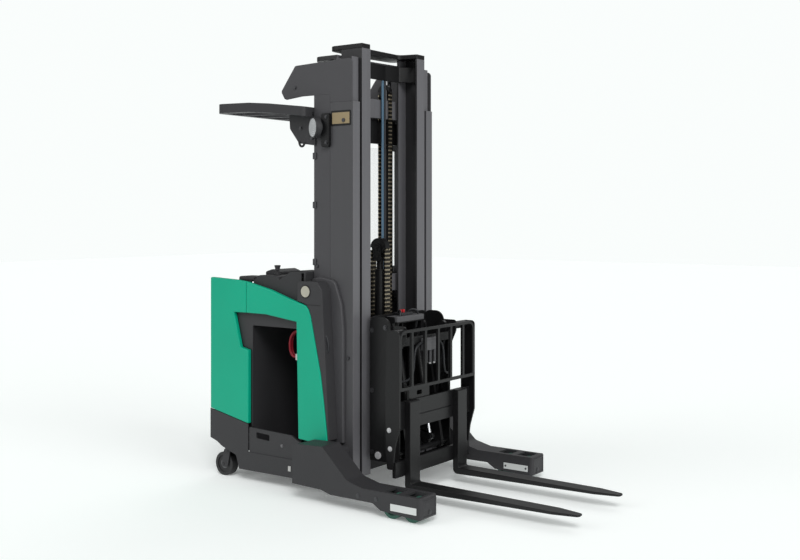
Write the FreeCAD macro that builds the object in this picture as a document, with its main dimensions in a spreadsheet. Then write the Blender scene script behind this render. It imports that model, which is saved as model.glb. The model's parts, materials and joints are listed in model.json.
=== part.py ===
"""Stand-up reach truck with a three-stage mast, a single scissor reach and an empty battery bay.

X points to the fork tips, Y to the truck's left and Z up. The origin is on the floor, midway between
the rear of the body and the fork tips. Sizes are in millimetres.
"""
import FreeCAD, Part
import math
import os
import re

import Sketcher

V = FreeCAD.Vector

# Driving sizes, as name, value and meaning
SIZES = [
    ("rear", -1245, "rear of the body and of the guard"),
    ("body_half", 529, "half width of the body"),
    ("body_skin", 30, "depth of the moulded side panels"),
    ("plate", 6, "plate of the frame and the tower"),
    ("skirt_top_rear", 430, "top of the skirt at the rear corner"),
    ("skirt_top_front", 364, "top of the skirt beside the battery bay"),
    ("skirt_base", 78, "underside of the skirt"),
    ("arch_top", 243, "top of the caster arch at the rear"),
    ("bay_rear", -906, "rear edge of the battery bay"),
    ("bay_front", -506, "front edge of the battery bay"),
    ("bay_floor", 189, "floor of the battery bay"),
    ("bay_sill", 345, "top of the battery stop"),
    ("bay_top", 980, "top edge of the battery bay"),
    ("panel_top", 1273, "top of the rear side panel"),
    ("seam", 3, "joint between two side panels"),
    ("deck", 250, "operator's floor"),
    ("mat", 8, "floor mat"),
    ("drive_side", 105, "right face of the drive cover"),
    ("drive_top", 1235, "top of the drive cover"),
    ("drive_shelf", 360, "top of the plate that carries the drive unit"),
    ("cover_wall", 5, "wall of the drive cover"),
    ("dash_rear", -904, "rear edge of the dash"),
    ("dash_front", -474, "front edge of the dash"),
    ("dash_wall", 14, "wall of the dash"),
    ("dash_top", 1296, "flat top of the dash"),
    ("leg_inner", 531, "inside of a leg"),
    ("leg_wide", 162, "width of a leg"),
    ("leg_rear", -405, "rear of a leg"),
    ("leg_tip", 520, "front of a leg"),
    ("leg_top", 146, "top of a leg beside its wheels"),
    ("knee_top", 342, "top of a leg's rear box"),
    ("load_radius", 63.5, "radius of a load wheel"),
    ("load_wide", 92, "width of a load wheel"),
    ("load_first", 300, "axle of the rear load wheel"),
    ("load_pitch", 136, "distance between the load wheel axles"),
    ("axle_radius", 12, "radius of a load wheel's axle"),
    ("running", 0.05, "radial clearance of a shaft"),
    ("wheel_gap", 6, "clearance around a load wheel"),
    ("caster_x", -1130, "swivel axis of the caster"),
    ("caster_y", -460, "swivel axis of the caster"),
    ("caster_trail", 35, "distance from the swivel axis to the caster's axle"),
    ("caster_radius", 75, "radius of the caster wheel"),
    ("caster_wide", 52, "width of the caster wheel"),
    ("drive_x", -1070, "steering axis of the drive unit"),
    ("drive_y", 270, "steering axis of the drive unit"),
    ("drive_radius", 145, "radius of the drive wheel"),
    ("drive_wide", 84, "width of the drive wheel"),
    ("mast_front", -164, "front plane of the mast"),
    ("mast_base", 72, "foot of the mast rails"),
    ("outer_half", 417, "outside of the outer rails"),
    ("outer_lip", 350, "inner edge of the outer rails"),
    ("outer_deep", 177, "depth of the outer rails"),
    ("outer_flange", 18, "flange of the outer rails"),
    ("outer_web", 12, "web of the outer rails"),
    ("outer_top", 2350, "top of the outer rails"),
    ("rail_gap", 5.5, "clearance between nested rails"),
    ("middle_web", 9, "web of the middle rails"),
    ("middle_flange", 14, "flange of the middle rails"),
    ("middle_top", 2620, "top of the middle rails"),
    ("inner_half", 330, "outside of the inner rails"),
    ("inner_lip", 245, "inner edge of the inner rails"),
    ("inner_deep", 161, "depth of the inner rails"),
    ("inner_flange", 15, "flange of the inner rails"),
    ("inner_web", 10, "web of the inner rails"),
    ("inner_top", 2677, "top of the inner rails"),
    ("tie_deep", 21, "depth of the cross ties"),
    ("tower_deep", 126, "depth of the tower plates"),
    ("tower_top", 2400, "top of the tower plates"),
    ("guard_half", 515, "half width of the overhead guard"),
    ("guard_rim", 62, "width of the guard's rim"),
    ("guard_thick", 58, "thickness of the guard"),
    ("guard_top", 2384, "top of the guard at its rear"),
    ("guard_drop", 47, "fall of the guard to its front"),
    ("guard_front", -470, "front of the guard"),
    ("chain_y", 180, "distance of a lift chain from the middle"),
    ("chain_x", -331, "front run of the lift chains"),
    ("chain_wide", 26, "width of a chain"),
    ("free_chain_wide", 46, "width of the free lift chain"),
    ("free_cheek", 36, "outside of the cheeks beside the free lift sheave"),
    ("chain_thick", 12, "thickness of a chain"),
    ("chain_wheel", 42, "radius of a lift chain's sheave to the chain's middle"),
    ("chain_wheel_z", 2468, "height of the lift chain sheaves"),
    ("free_x", -277, "axis of the free lift cylinder"),
    ("free_radius", 33, "radius of the free lift cylinder"),
    ("free_rod", 22, "radius of the free lift rod"),
    ("free_top", 1330, "top of the free lift cylinder"),
    ("free_wheel", 54, "radius of the free lift sheave to the chain's middle"),
    ("free_wheel_z", 1466, "height of the free lift sheave"),
    ("jack_x", -434, "axis of the main lift cylinders"),
    ("jack_y", 300, "distance of a main lift cylinder from the middle"),
    ("jack_radius", 28, "radius of a main lift cylinder"),
    ("jack_rod", 19, "radius of a main lift rod"),
    ("jack_top", 2300, "top of the main lift cylinders"),
    ("carriage_half", 290, "outside of the mast carriage"),
    ("plate_half", 240, "half width of the carriage plate between the inner rails"),
    ("carriage_shoulder", 14, "thickness of the wider plate in front of it"),
    ("carriage_back", -155, "rear of the mast carriage's plate"),
    ("carriage_plate", 20, "plate of the mast carriage"),
    ("carriage_side", 10, "side plate of the mast carriage"),
    ("carriage_nose", 28, "front edge of the mast carriage's side plates"),
    ("carriage_base", 200, "underside of the mast carriage"),
    ("carriage_top", 1062, "top of the mast carriage"),
    ("roller_radius", 64, "radius of a mast roller"),
    ("roller_low", 330, "height of the lower mast rollers"),
    ("roller_high", 860, "height of the upper mast rollers"),
    ("pivot_z", 245, "height of the lower scissor pivots"),
    ("pivot_back", -85, "rear scissor pivot"),
    ("pivot_step", 127, "distance from the rear to the front scissor pivot, folded"),
    ("track_z", 976, "height of the upper scissor rollers, folded"),
    ("arm_wide", 60, "width of a scissor arm"),
    ("arm_thick", 24, "thickness of a scissor arm"),
    ("arm_outer_y", 222, "inside of the outer arms"),
    ("arm_inner_y", 176, "inside of the inner arms"),
    ("pin", 14, "radius of the scissor pins"),
    ("arm_roller", 22, "radius of the scissor rollers"),
    ("track_play", 1, "clearance of a scissor roller in its track"),
    ("cylinder_y", 100, "distance of a reach cylinder from the middle"),
    ("cylinder_top_x", -75, "upper pin of the reach cylinders"),
    ("cylinder_top_z", 930, "upper pin of the reach cylinders"),
    ("crank", 130, "distance of the reach cylinder's eye from the rear pivot"),
    ("crank_turn", 65.86, "angle of that crank from upright, folded"),
    ("tube_up", 75, "distance of the outer arms' cross tube from the rear pivot"),
    ("reach_barrel", 22, "radius of a reach cylinder"),
    ("reach_rod", 12, "radius of a reach rod"),
    ("head_half", 274, "outside of the reach head"),
    ("head_plate", 8, "plate of the reach head"),
    ("tilt_x", 97, "tilt pivot"),
    ("tilt_pin", 12, "radius of the tilt pins"),
    ("side_inner", 399, "inside of the backrest's side plates"),
    ("side_thick", 12, "backrest's side plates"),
    ("rest_top", 1000, "top of the load backrest"),
    ("rest_front", 170, "front of the load backrest"),
    ("rest_bar", 16, "depth of the backrest's bars"),
    ("rest_pitch", 138, "distance between the backrest's upright bars"),
    ("rest_bar_wide", 20, "width of the backrest's upright bars"),
    ("bar_back", 112, "rear of the fork bars"),
    ("fork_face", 175, "front face of the fork shanks"),
    ("fork_thick", 40, "thickness of a fork"),
    ("fork_wide", 102, "width of a fork"),
    ("fork_y", 257, "distance of a fork from the middle"),
    ("fork_reach", 1070, "length of the fork blades"),
    ("fork_under", 60, "underside of the forks"),
    ("fork_top", 582, "top of the fork shanks"),
]

os.makedirs("parts", exist_ok=True)
doc = FreeCAD.newDocument("reach_truck")
sheet = doc.addObject("Spreadsheet::Sheet", "Sizes")
for row, (alias, amount, meaning) in enumerate(SIZES, 1):
    sheet.set("A%d" % row, meaning)
    sheet.set("B%d" % row, str(amount))
    sheet.setAlias("B%d" % row, alias)
doc.recompute()
NAMES = {alias for alias, amount, meaning in SIZES}
nodes = {}


def bound(text):
    """Point each size's name in an expression at its cell."""
    return re.sub(r"[a-z][a-z_]*", lambda m: "Sizes." + m.group(0) if m.group(0) in NAMES else m.group(0),
                  str(text))


def amount_of(text):
    """Work out an expression's present value."""
    return float(sheet.evalExpression(str(text)))


def draw(sketch, points):
    """Draw a closed outline of (across, up, corner radius) whose corners follow the sheet."""
    first = sketch.GeometryCount
    spots = [V(amount_of(p[0]), amount_of(p[1]), 0) for p in points]
    count = len(spots)
    for i in range(count):
        sketch.addGeometry(Part.LineSegment(spots[i], spots[(i + 1) % count]), False)
    for i in range(count):
        sketch.addConstraint(Sketcher.Constraint("Coincident", first + i, 2, first + (i + 1) % count, 1))
    for i, point in enumerate(points):
        for kind, value, text in (("DistanceX", spots[i].x, point[0]), ("DistanceY", spots[i].y, point[1])):
            number = sketch.addConstraint(Sketcher.Constraint(kind, -1, 1, first + i, 1, value))
            sketch.setExpression("Constraints[%d]" % number, bound(text))
    sketch.recompute()
    for i, point in enumerate(points):
        if len(point) > 2:
            radius = amount_of(point[2])
            sketch.fillet(first + (i - 1) % count, 2, radius, True, True)
            arcs = [k for k in range(sketch.GeometryCount)
                    if sketch.Geometry[k].TypeId == "Part::GeomArcOfCircle"]
            number = sketch.addConstraint(Sketcher.Constraint("Radius", arcs[-1], radius))
            sketch.setExpression("Constraints[%d]" % number, bound(point[2]))


def ring(sketch, across, up, radius):
    """Draw a circle whose centre and radius follow the sheet."""
    centre = V(amount_of(across), amount_of(up), 0)
    line = sketch.addGeometry(Part.Circle(centre, V(0, 0, 1), amount_of(radius)), False)
    for kind, value, text in (("DistanceX", centre.x, across), ("DistanceY", centre.y, up)):
        number = sketch.addConstraint(Sketcher.Constraint(kind, -1, 1, line, 3, value))
        sketch.setExpression("Constraints[%d]" % number, bound(text))
    number = sketch.addConstraint(Sketcher.Constraint("Radius", line, amount_of(radius)))
    sketch.setExpression("Constraints[%d]" % number, bound(radius))


PLANES = {"xz": "XZ_Plane", "xy": "XY_Plane", "yz": "YZ_Plane"}


def slab(name, plane, points, low, high, holes=(), bores=()):
    """Pad an outline in a plane between two heights across it, with its holes."""
    body = doc.addObject("PartDesign::Body", name)
    sketch = body.newObject("Sketcher::SketchObject", name + "_outline")
    base = [f for f in body.Origin.OriginFeatures if f.Role == PLANES[plane]][0]
    sketch.AttachmentSupport = [(base, "")]
    sketch.MapMode = "FlatFace"
    start = "-(%s)" % high if plane == "xz" else low
    sketch.setExpression("AttachmentOffset.Base.z", bound("(%s) * 1 mm" % start))
    draw(sketch, points)
    for hole in holes:
        draw(sketch, hole)
    for bore in bores:
        ring(sketch, *bore)
    pad = body.newObject("PartDesign::Pad", name + "_pad")
    pad.Profile = sketch
    pad.setExpression("Length", bound("(%s) - (%s)" % (high, low)))
    return body


def place(thing, across, left, up):
    """Tie a primitive's place to the sheet."""
    for axis, text in zip("xyz", (across, left, up)):
        thing.setExpression("Placement.Base." + axis, bound("(%s) * 1 mm" % text))


def block(name, x_low, x_high, y_low, y_high, z_low, z_high):
    """A plain block between its faces."""
    box = doc.addObject("Part::Box", name)
    for field, low, high in (("Length", x_low, x_high), ("Width", y_low, y_high), ("Height", z_low, z_high)):
        box.setExpression(field, bound("(%s) - (%s)" % (high, low)))
    place(box, x_low, y_low, z_low)
    return box


TURNS = {"x": (V(0, 1, 0), 90), "y": (V(1, 0, 0), -90), "z": (V(0, 0, 1), 0)}


def rod(name, axis, radius, low, high, first, second):
    """A round bar along an axis, from low to high, centred on the other two coordinates."""
    bar = doc.addObject("Part::Cylinder", name)
    bar.Placement = FreeCAD.Placement(V(), FreeCAD.Rotation(*TURNS[axis]))
    bar.setExpression("Radius", bound(radius))
    bar.setExpression("Height", bound("(%s) - (%s)" % (high, low)))
    spot = {"x": (low, first, second), "y": (first, low, second), "z": (first, second, low)}[axis]
    place(bar, *spot)
    return bar


def fused(name, pieces):
    """Weld pieces into one."""
    joined = doc.addObject("Part::MultiFuse", name)
    joined.Shapes = pieces
    joined.Refine = True
    return joined


def gathered(name, pieces):
    """Keep like pieces together that do not touch."""
    group = doc.addObject("Part::Compound", name)
    group.Links = pieces
    return group


def cut(name, base, tools):
    """Take tools away from a piece."""
    for number, tool in enumerate(tools):
        less = doc.addObject("Part::Cut", "%s_%d" % (name, number) if number + 1 < len(tools) else name)
        less.Base = base
        less.Tool = tool
        base = less
    return base


def common(name, first, second):
    """Keep what two forms share."""
    both = doc.addObject("Part::MultiCommon", name)
    both.Shapes = [first, second]
    return both


def node(name, thing):
    """Hand a finished sub-part over under its own name."""
    thing.Label = name
    nodes[name] = thing


SIDES = (("right", -1), ("left", 1))


def span(side, inner, outer):
    """Low and high Y of a piece that lies between two distances from the middle."""
    return (inner, outer) if side > 0 else ("-(%s)" % outer, "-(%s)" % inner)


def pair(name, plane, points, inner, outer, holes=(), bores=()):
    """The same upright slab on both sides."""
    return [slab("%s_%s" % (name, word), plane, points, *span(side, inner, outer), holes=holes, bores=bores)
            for word, side in SIDES]


# Legs, each with a box at the rear, a slope and a low arm around its two load wheels
leg_side = [("leg_rear", 100), ("leg_rear", "knee_top - 30"), ("leg_rear + 33", "knee_top - 8", 30),
            ("-176", "knee_top", 18), (4, 173, 60), (120, "leg_top"), ("leg_tip", "leg_top", 20),
            ("leg_tip", 28, 16), (244, 42), (188, 75), (-113, 75), (-187, 94)]
leg_middle = "(leg_inner + leg_wide / 2)"
for word, side in SIDES:
    beam = slab("leg_beam_" + word, "xz", leg_side, *span(side, "leg_inner", "leg_inner + leg_wide"))
    plan = slab("leg_plan_" + word, "xy",
                [("leg_rear", span(side, "leg_inner", "leg_inner + leg_wide")[0]),
                 ("leg_rear", span(side, "leg_inner", "leg_inner + leg_wide")[1]),
                 ("leg_tip", span(side, "leg_inner", "leg_inner + leg_wide")[1], 26),
                 ("leg_tip", span(side, "leg_inner", "leg_inner + leg_wide")[0], 26)], 0, "knee_top + 10")
    arm = common("leg_arm_" + word, beam, plan)
    half = "(load_wide / 2 + wheel_gap)"
    well = block("leg_well_" + word, "load_first - load_radius - wheel_gap",
                 "load_first + load_pitch + load_radius + wheel_gap",
                 *span(side, leg_middle + " - " + half, leg_middle + " + " + half), 0,
                 "load_radius * 2 + wheel_gap")
    slots = [block("leg_slot_%s_%d" % (word, n), "load_first + %d * load_pitch - 46" % n,
                   "load_first + %d * load_pitch + 46" % n,
                   *span(side, leg_middle + " - " + half, leg_middle + " + " + half), 100, "leg_top + 10")
             for n in (0, 1)]
    hollow = cut("leg_hollow_" + word, arm, [well] + slots)
    axles = [rod("leg_axle_%s_%d" % (word, n), "y", "axle_radius",
                 *span(side, "leg_inner + 10", "leg_inner + leg_wide - 10"),
                 "load_first + %d * load_pitch" % n, "load_radius") for n in (0, 1)]
    node("leg_" + word, fused("leg_" + word, [hollow] + axles))

# Load wheels, each a tyre on a hub with shallow faces
for k, (word, side) in enumerate(SIDES):
    for n in (0, 1):
        x_axle = "load_first + %d * load_pitch" % n
        name = "load_wheel_%d" % (2 * k + n + 1)
        tread = rod(name + "_tread", "y", "load_radius",
                    *span(side, leg_middle + " - load_wide / 2", leg_middle + " + load_wide / 2"),
                    x_axle, "load_radius")
        dishes = [rod("%s_dish_%d" % (name, face), "y", "load_radius - 18",
                      *span(side, low, high), x_axle, "load_radius")
                  for face, (low, high) in enumerate(((leg_middle + " - load_wide / 2 - 1",
                                                    leg_middle + " - load_wide / 2 + 8"),
                                                   (leg_middle + " + load_wide / 2 - 8",
                                                    leg_middle + " + load_wide / 2 + 1")))]
        bore = rod(name + "_bore", "y", "axle_radius + running",
                   *span(side, leg_middle + " - load_wide", leg_middle + " + load_wide"),
                   x_axle, "load_radius")
        node(name, cut(name, tread, dishes + [bore]))

# Frame with skirts, bulkheads, deck and drive shelf
skirt_side = [("rear", "arch_top"), ("rear", "skirt_top_rear"), ("bay_rear - 7", "skirt_top_front"),
              ("bay_rear - 7", "bay_floor"), ("leg_rear - 2", "bay_floor"), ("leg_rear - 2", "skirt_base"),
              ("bay_rear - 85", "skirt_base - 4", 10), ("bay_rear - 111", 157, 20), ("rear + 104", 198, 20),
              ("rear + 59", 224)]
skirts = pair("skirt", "xz", skirt_side, "body_half - plate", "body_half")
inside = "(body_half - plate)"
rear_plate = slab("rear_plate", "yz",
                  [("-" + inside, "arch_top"), ("-body_half + 200", "arch_top", 20),
                   ("-body_half + 235", "skirt_base + 20", 20), (inside, "skirt_base + 20"),
                   (inside, "skirt_top_rear"), ("drive_side", "skirt_top_rear", 10),
                   ("drive_side", "deck"), ("-" + inside, "deck")], "rear", "rear + 10")
deck = block("deck_plate", "rear + 10", "bay_rear", "-" + inside, "drive_side", "deck - 6", "deck")
bay_floor = block("bay_floor_plate", "bay_rear - 6", "bay_front + 90", "-" + inside, inside,
                  "bay_floor - 12", "bay_floor")
bulkhead = block("bulkhead", "bay_rear - 6", "bay_rear", "-(body_half - body_skin - 9)",
                 "body_half - body_skin - 9", "bay_floor", "drive_top - 30")
front_wall = block("front_wall", "bay_front", "bay_front + 6", "-(body_half - body_skin - 1)",
                   "body_half - body_skin - 1", "bay_floor", 1270)
shelf_hole = rod("shelf_hole", "z", "60 + running", 0, 500, "drive_x", "drive_y")
shelf = cut("shelf", block("shelf_plate", "rear + 10", "bay_rear - 6", "drive_side", inside,
                           "drive_shelf - 16", "drive_shelf"), [shelf_hole])
shelf_wall = block("shelf_wall", "rear + 10", "bay_rear - 6", "drive_side", "drive_side + 6",
                   "skirt_base + 20", "drive_shelf - 16")
wear_plate = block("bay_wear_plate", "bay_rear + 8", "bay_front - 4", "-(body_half - body_skin - 10)",
                   "body_half - body_skin - 16", "bay_floor", "bay_floor + 3")
caster_socket = rod("caster_socket", "z", 40, 196, "deck - 6", "caster_x", "caster_y")
node("frame", fused("frame", skirts + [rear_plate, deck, bay_floor, bulkhead, front_wall, shelf,
                                       shelf_wall, wear_plate, caster_socket]))

# Front frame, a cross plate between the legs and a cheek beside each mast rail
cross = slab("cross_plate", "yz",
             [("-leg_inner", "skirt_base + 4"), ("-leg_inner", 300, 20), ("leg_inner", 300, 20),
              ("leg_inner", "skirt_base + 4")], "leg_rear", "leg_rear + 30",
             holes=[[(-300, 130, 20), (-300, 240, 20), (300, 240, 20), (300, 130, 20)]])
cheeks = pair("cheek", "xz", [("leg_rear + 30", "skirt_base + 4"), ("leg_rear + 30", 300),
                              ("mast_front - 30", 300, 30), ("mast_front - 10", 120),
                              ("mast_front - 10", "skirt_base + 4")], "outer_half", "leg_inner",
              holes=[[(-330, 120, 10), (-330, 250, 10), (-230, 250, 10), (-200, 120, 10)]])
jack_shelf = [block("jack_shelf_" + word, "mast_front - outer_deep - tower_deep", "leg_rear",
                    *span(side, 255, "outer_half - plate"), 195, 215) for word, side in SIDES]
node("front_frame", fused("front_frame", [cross] + cheeks + jack_shelf))

# Side panels in two lengths, with the hollow around the battery bay
panel_in = "body_half - body_skin"
trim_in = "body_half - body_skin - 8"
rear_half = [("rear", "skirt_top_rear + 2"), ("rear", "panel_top", 10), ("rear + 245", "panel_top - 11"),
             ("rear + 313", "panel_top - 19"), ("rear + 313", "bay_top + 78"),
             ("rear + 206", "bay_top + 78"), ("rear + 263", 841), ("bay_rear - 7", 826),
             ("bay_rear - 7", "skirt_top_front + 2")]
node("quarter_panels", gathered("quarter_panels", pair("quarter", "xz", rear_half, panel_in, "body_half")))
front_half = [("rear + 313 + seam", "panel_top - 19"), ("rear + 518", 1210), ("rear + 682", 1159),
              (-443, 1129, 20), (-419, 1103, 20), (-403, 1062), (-364, 897), (-325, 722), (-302, 576),
              (-279, 401), (-268, 305), ("bay_front + 8", 321), ("bay_front - 8", 1025),
              ("bay_front - 263", 1057), ("rear + 313 + seam", "bay_top + 78")]
node("battery_covers", gathered("battery_covers",
                                pair("cover", "xz", front_half, panel_in, "body_half")))
trim_side = [("rear + 208", "bay_top + 76"), ("rear + 265", 843), ("bay_rear - 5", 828),
             ("bay_rear - 5", "bay_sill"), ("bay_rear + 6", "bay_sill"), ("bay_rear + 6", "bay_top", 8),
             ("bay_front", "bay_top"), ("bay_front - 10", 1023), ("bay_front - 263", "bay_top + 75")]
node("bay_trims", gathered("bay_trims",
                           pair("bay_trim", "xz", trim_side, trim_in, panel_in)))
stop = slab("battery_stop", "xz",
            [("bay_rear", "bay_floor"), ("bay_rear", "bay_sill", 6), ("leg_rear - 150", "bay_sill - 12"),
             ("leg_rear - 100", "bay_sill - 40"), ("leg_rear - 4", "bay_sill - 60"),
             ("leg_rear - 4", "bay_floor")], "-(body_half - 4)", "-(body_half - 18)",
            holes=[[("bay_rear + 60", 282, 8), ("bay_rear + 60", 320, 8), ("bay_rear + 170", 314, 8),
                    ("bay_rear + 170", 276, 8)]])
gate = block("battery_gate", "bay_rear", "bay_front", panel_in + " - 14", panel_in + " - 8", "bay_floor",
             "bay_top")
node("battery_gates", gathered("battery_gates", [stop, gate]))

# Dark panels between the side panels and the mast, with the lamp pod on top
front_side = [(-262, 334), (-277, 570), (-316, 1224), (-353, 1272, 10), (-505, 1272, 20), (-511, 1153),
              (-440, 1134, 20), (-416, 1104, 20), (-400, 1062), (-361, 897), (-322, 722), (-299, 576),
              (-276, 401), (-271, 334)]
front_panels = []
for word, side in SIDES:
    panel = slab("front_panel_whole_" + word, "xz", front_side, *span(side, "outer_half + 24", "body_half - 4"))
    notch = block("front_panel_notch_" + word, "bay_front - 20", "dash_front + 0.5",
                  *span(side, "outer_half + 20", panel_in + " + 0.5"), 1100, 1300)
    front_panels.append(cut("front_panel_" + word, panel, [notch]))
node("front_panels", gathered("front_panels", front_panels))
shroud_side = [(-466, 312), (-466, 1284, 16), (-400, 1296, 30), (-290, 1278, 46), (-237, 1136, 80),
               (-222, 989), (-222, 312)]
node("mast_shrouds", gathered("mast_shrouds", pair("mast_shroud", "xz", shroud_side, "outer_half",
                                                   "outer_half + 24")))

# Dash over the battery bay
dash_out = [("dash_rear", 1070), ("dash_rear", 1262, 14), ("dash_rear + 50", "dash_top", 30), (-704, "dash_top", 20),
            (-690, 1270), (-600, 1322, 40), ("dash_front", 1332, 14), ("dash_front", 1070),
            ("dash_front - dash_wall", 1070), ("dash_front - dash_wall", "1332 - dash_wall"),
            (-600, "1322 - dash_wall"), (-690, "1268 - dash_wall"), (-716, "dash_top - dash_wall"),
            ("dash_rear + 52", "dash_top - dash_wall"), ("dash_rear + dash_wall", 1250),
            ("dash_rear + dash_wall", 1070)]
dash_shell = slab("dash_shell", "xz", dash_out, "-(body_half - body_skin - 9)", "body_half - body_skin - 9")
dash_ends = pair("dash_end", "xz", dash_out[:6] + [("dash_front - 34", 1329), ("dash_front - 34", 1070)],
                 "body_half - body_skin - 9 - dash_wall",
                 "body_half - body_skin - 9")
node("dash", fused("dash", [dash_shell] + dash_ends))

lever = fused("control_lever", [rod("lever_boot", "z", 24, "dash_top", "dash_top + 8", -755, -430),
                                rod("lever_stem", "z", 6, "dash_top + 6", "dash_top + 34", -755, -430),
                                rod("lever_knob", "z", 15, "dash_top + 30", "dash_top + 56", -755, -430)])
node("control_lever", lever)
wheel_rim = cut("steer_rim", rod("steer_disc", "z", 120, "dash_top + 34", "dash_top + 56", -770, 250),
                [rod("steer_hollow", "z", 96, "dash_top + 30", "dash_top + 60", -770, 250)])
spokes = block("steer_spoke", -870, -670, 238, 262, "dash_top + 38", "dash_top + 50")
column = rod("steer_column", "z", 30, "dash_top", "dash_top + 50", -770, 250)
node("steering_wheel", fused("steering_wheel", [wheel_rim, spokes, column]))

node("floor_mat", block("floor_mat", "rear + 20", "bay_rear - 12", "-(body_half - body_skin - 8)",
                        "drive_side - 8", "deck", "deck + mat"))
node("lean_pad", slab("lean_pad", "xz", [("rear + 40", 860, 30), ("rear + 40", 1160, 30),
                                         ("bay_rear - 40", 1160, 30), ("bay_rear - 40", 860, 30)],
                      "-(%s - 0.3)" % trim_in, "-(%s - 45)" % trim_in))

# Drive cover, a shell open below
shell = slab("drive_shell", "xz", [("rear", "drive_shelf"), ("rear", "drive_top", 60),
                                   ("bay_rear - 6", "drive_top"), ("bay_rear - 6", "drive_shelf")],
             "drive_side", trim_in)
core = slab("drive_core", "xz", [("rear + cover_wall", "drive_shelf - 5"),
                                 ("rear + cover_wall", "drive_top - cover_wall", 55),
                                 ("bay_rear - 6 - cover_wall", "drive_top - cover_wall"),
                                 ("bay_rear - 6 - cover_wall", "drive_shelf - 5")],
            "drive_side + cover_wall", trim_in + " - cover_wall")
step = block("drive_cover_step", "rear - 1", "rear + 10.5", "drive_side - 1", "body_half", 300,
             "skirt_top_rear")
node("drive_cover", cut("drive_cover", shell, [core, step]))

# Drive unit with its motor, steering column and gearcase, and the drive wheel
motor = rod("drive_motor", "z", 95, "drive_shelf + 12", 760, "drive_x", "drive_y")
neck = rod("drive_neck", "z", 60, "drive_radius * 2 + 28", "drive_shelf + 12", "drive_x", "drive_y")
crown = rod("drive_crown", "z", 90, "drive_radius * 2 + 8", "drive_radius * 2 + 30", "drive_x", "drive_y")
case = slab("drive_case", "xz", [("drive_x - 58", "drive_radius * 2 + 12"),
                                 ("drive_x + 58", "drive_radius * 2 + 12"),
                                 ("drive_x + 66", "drive_radius", 60), ("drive_x + 40", 66, 30),
                                 ("drive_x - 40", 66, 30), ("drive_x - 66", "drive_radius", 60)],
            "drive_y + drive_wide / 2 + 5", "drive_y + drive_wide / 2 + 46")
axle = rod("drive_axle", "y", 22, "drive_y - drive_wide / 2 - 4", "drive_y + drive_wide / 2 + 10",
           "drive_x", "drive_radius")
node("drive_unit", fused("drive_unit", [motor, neck, crown, case, axle]))
drive_tyre = rod("drive_tyre", "y", "drive_radius", "drive_y - drive_wide / 2", "drive_y + drive_wide / 2",
                 "drive_x", "drive_radius")
drive_dish = rod("drive_dish", "y", "drive_radius - 34", "drive_y - drive_wide / 2 - 1",
                 "drive_y - drive_wide / 2 + 22", "drive_x", "drive_radius")
drive_hub = rod("drive_hub", "y", 46, "drive_y - drive_wide / 2 + 2", "drive_y + drive_wide / 2",
                "drive_x", "drive_radius")
drive_bore = rod("drive_bore", "y", "22 + running", "drive_y - drive_wide", "drive_y + drive_wide",
                 "drive_x", "drive_radius")
node("drive_wheel", cut("drive_wheel", fused("drive_rim", [cut("drive_pan", drive_tyre, [drive_dish]),
                                                          drive_hub]), [drive_bore]))

# Caster with a forked yoke on a swivel
hub_x = "caster_x - caster_trail"
yoke_top = rod("yoke_top", "z", 38, "caster_radius * 2 + 6", "caster_radius * 2 + 34", "caster_x",
               "caster_y")
yoke_stem = rod("yoke_stem", "z", 16, "caster_radius * 2 + 30", 195.5, "caster_x", "caster_y")
ears = [slab("yoke_ear_" + word, "xz",
             [("caster_x - 26", "caster_radius * 2 + 20"), ("caster_x + 26", "caster_radius * 2 + 20"),
              ("caster_x + 4", "caster_radius - 16", 16), ("caster_x - caster_trail - 18",
                                                           "caster_radius - 18", 17)], low, high)
        for word, low, high in (("right", "caster_y - caster_wide / 2 - 9", "caster_y - caster_wide / 2 - 3"),
                                ("left", "caster_y + caster_wide / 2 + 3", "caster_y + caster_wide / 2 + 9"))]
pin_axle = rod("yoke_axle", "y", 10, "caster_y - caster_wide / 2 - 12", "caster_y + caster_wide / 2 + 12",
               hub_x, "caster_radius")
node("caster_yoke", fused("caster_yoke", [yoke_top, yoke_stem, pin_axle] + ears))
caster_tread = rod("caster_tread", "y", "caster_radius", "caster_y - caster_wide / 2",
                   "caster_y + caster_wide / 2", hub_x, "caster_radius")
caster_dishes = [rod("caster_dish_%d" % k, "y", "caster_radius - 20", low, high, hub_x, "caster_radius")
                 for k, (low, high) in enumerate((("caster_y - caster_wide / 2 - 1",
                                                   "caster_y - caster_wide / 2 + 6"),
                                                  ("caster_y + caster_wide / 2 - 6",
                                                   "caster_y + caster_wide / 2 + 1")))]
caster_bore = rod("caster_bore", "y", "10 + running", "caster_y - caster_wide", "caster_y + caster_wide",
                  hub_x, "caster_radius")
node("caster_wheel", cut("caster_wheel", caster_tread, caster_dishes + [caster_bore]))

# Mast rails as nested channels, and their ties
mast_back = "(mast_front - outer_deep)"


def channel(name, lip, half, back, front, flange, web, low, high, opens_out=False):
    """One rail's section, drawn on the left and mirrored by its sign on the right."""
    rails = []
    for word, side in SIDES:
        sign = "" if side > 0 else "-1 * "
        near, far = (half, lip) if not opens_out else (lip, half)
        step_web = "(%s - %s)" % (near, web) if not opens_out else "(%s + %s)" % (near, web)
        spots = [(back, far), (back, near), (front, near), (front, far), ("%s - %s" % (front, flange), far),
                 ("%s - %s" % (front, flange), step_web), ("%s + %s" % (back, flange), step_web),
                 ("%s + %s" % (back, flange), far)]
        rails.append(slab("%s_%s" % (name, word), "xy", [(x, sign + "(%s)" % y) for x, y in spots],
                          low, high))
    return rails


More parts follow.
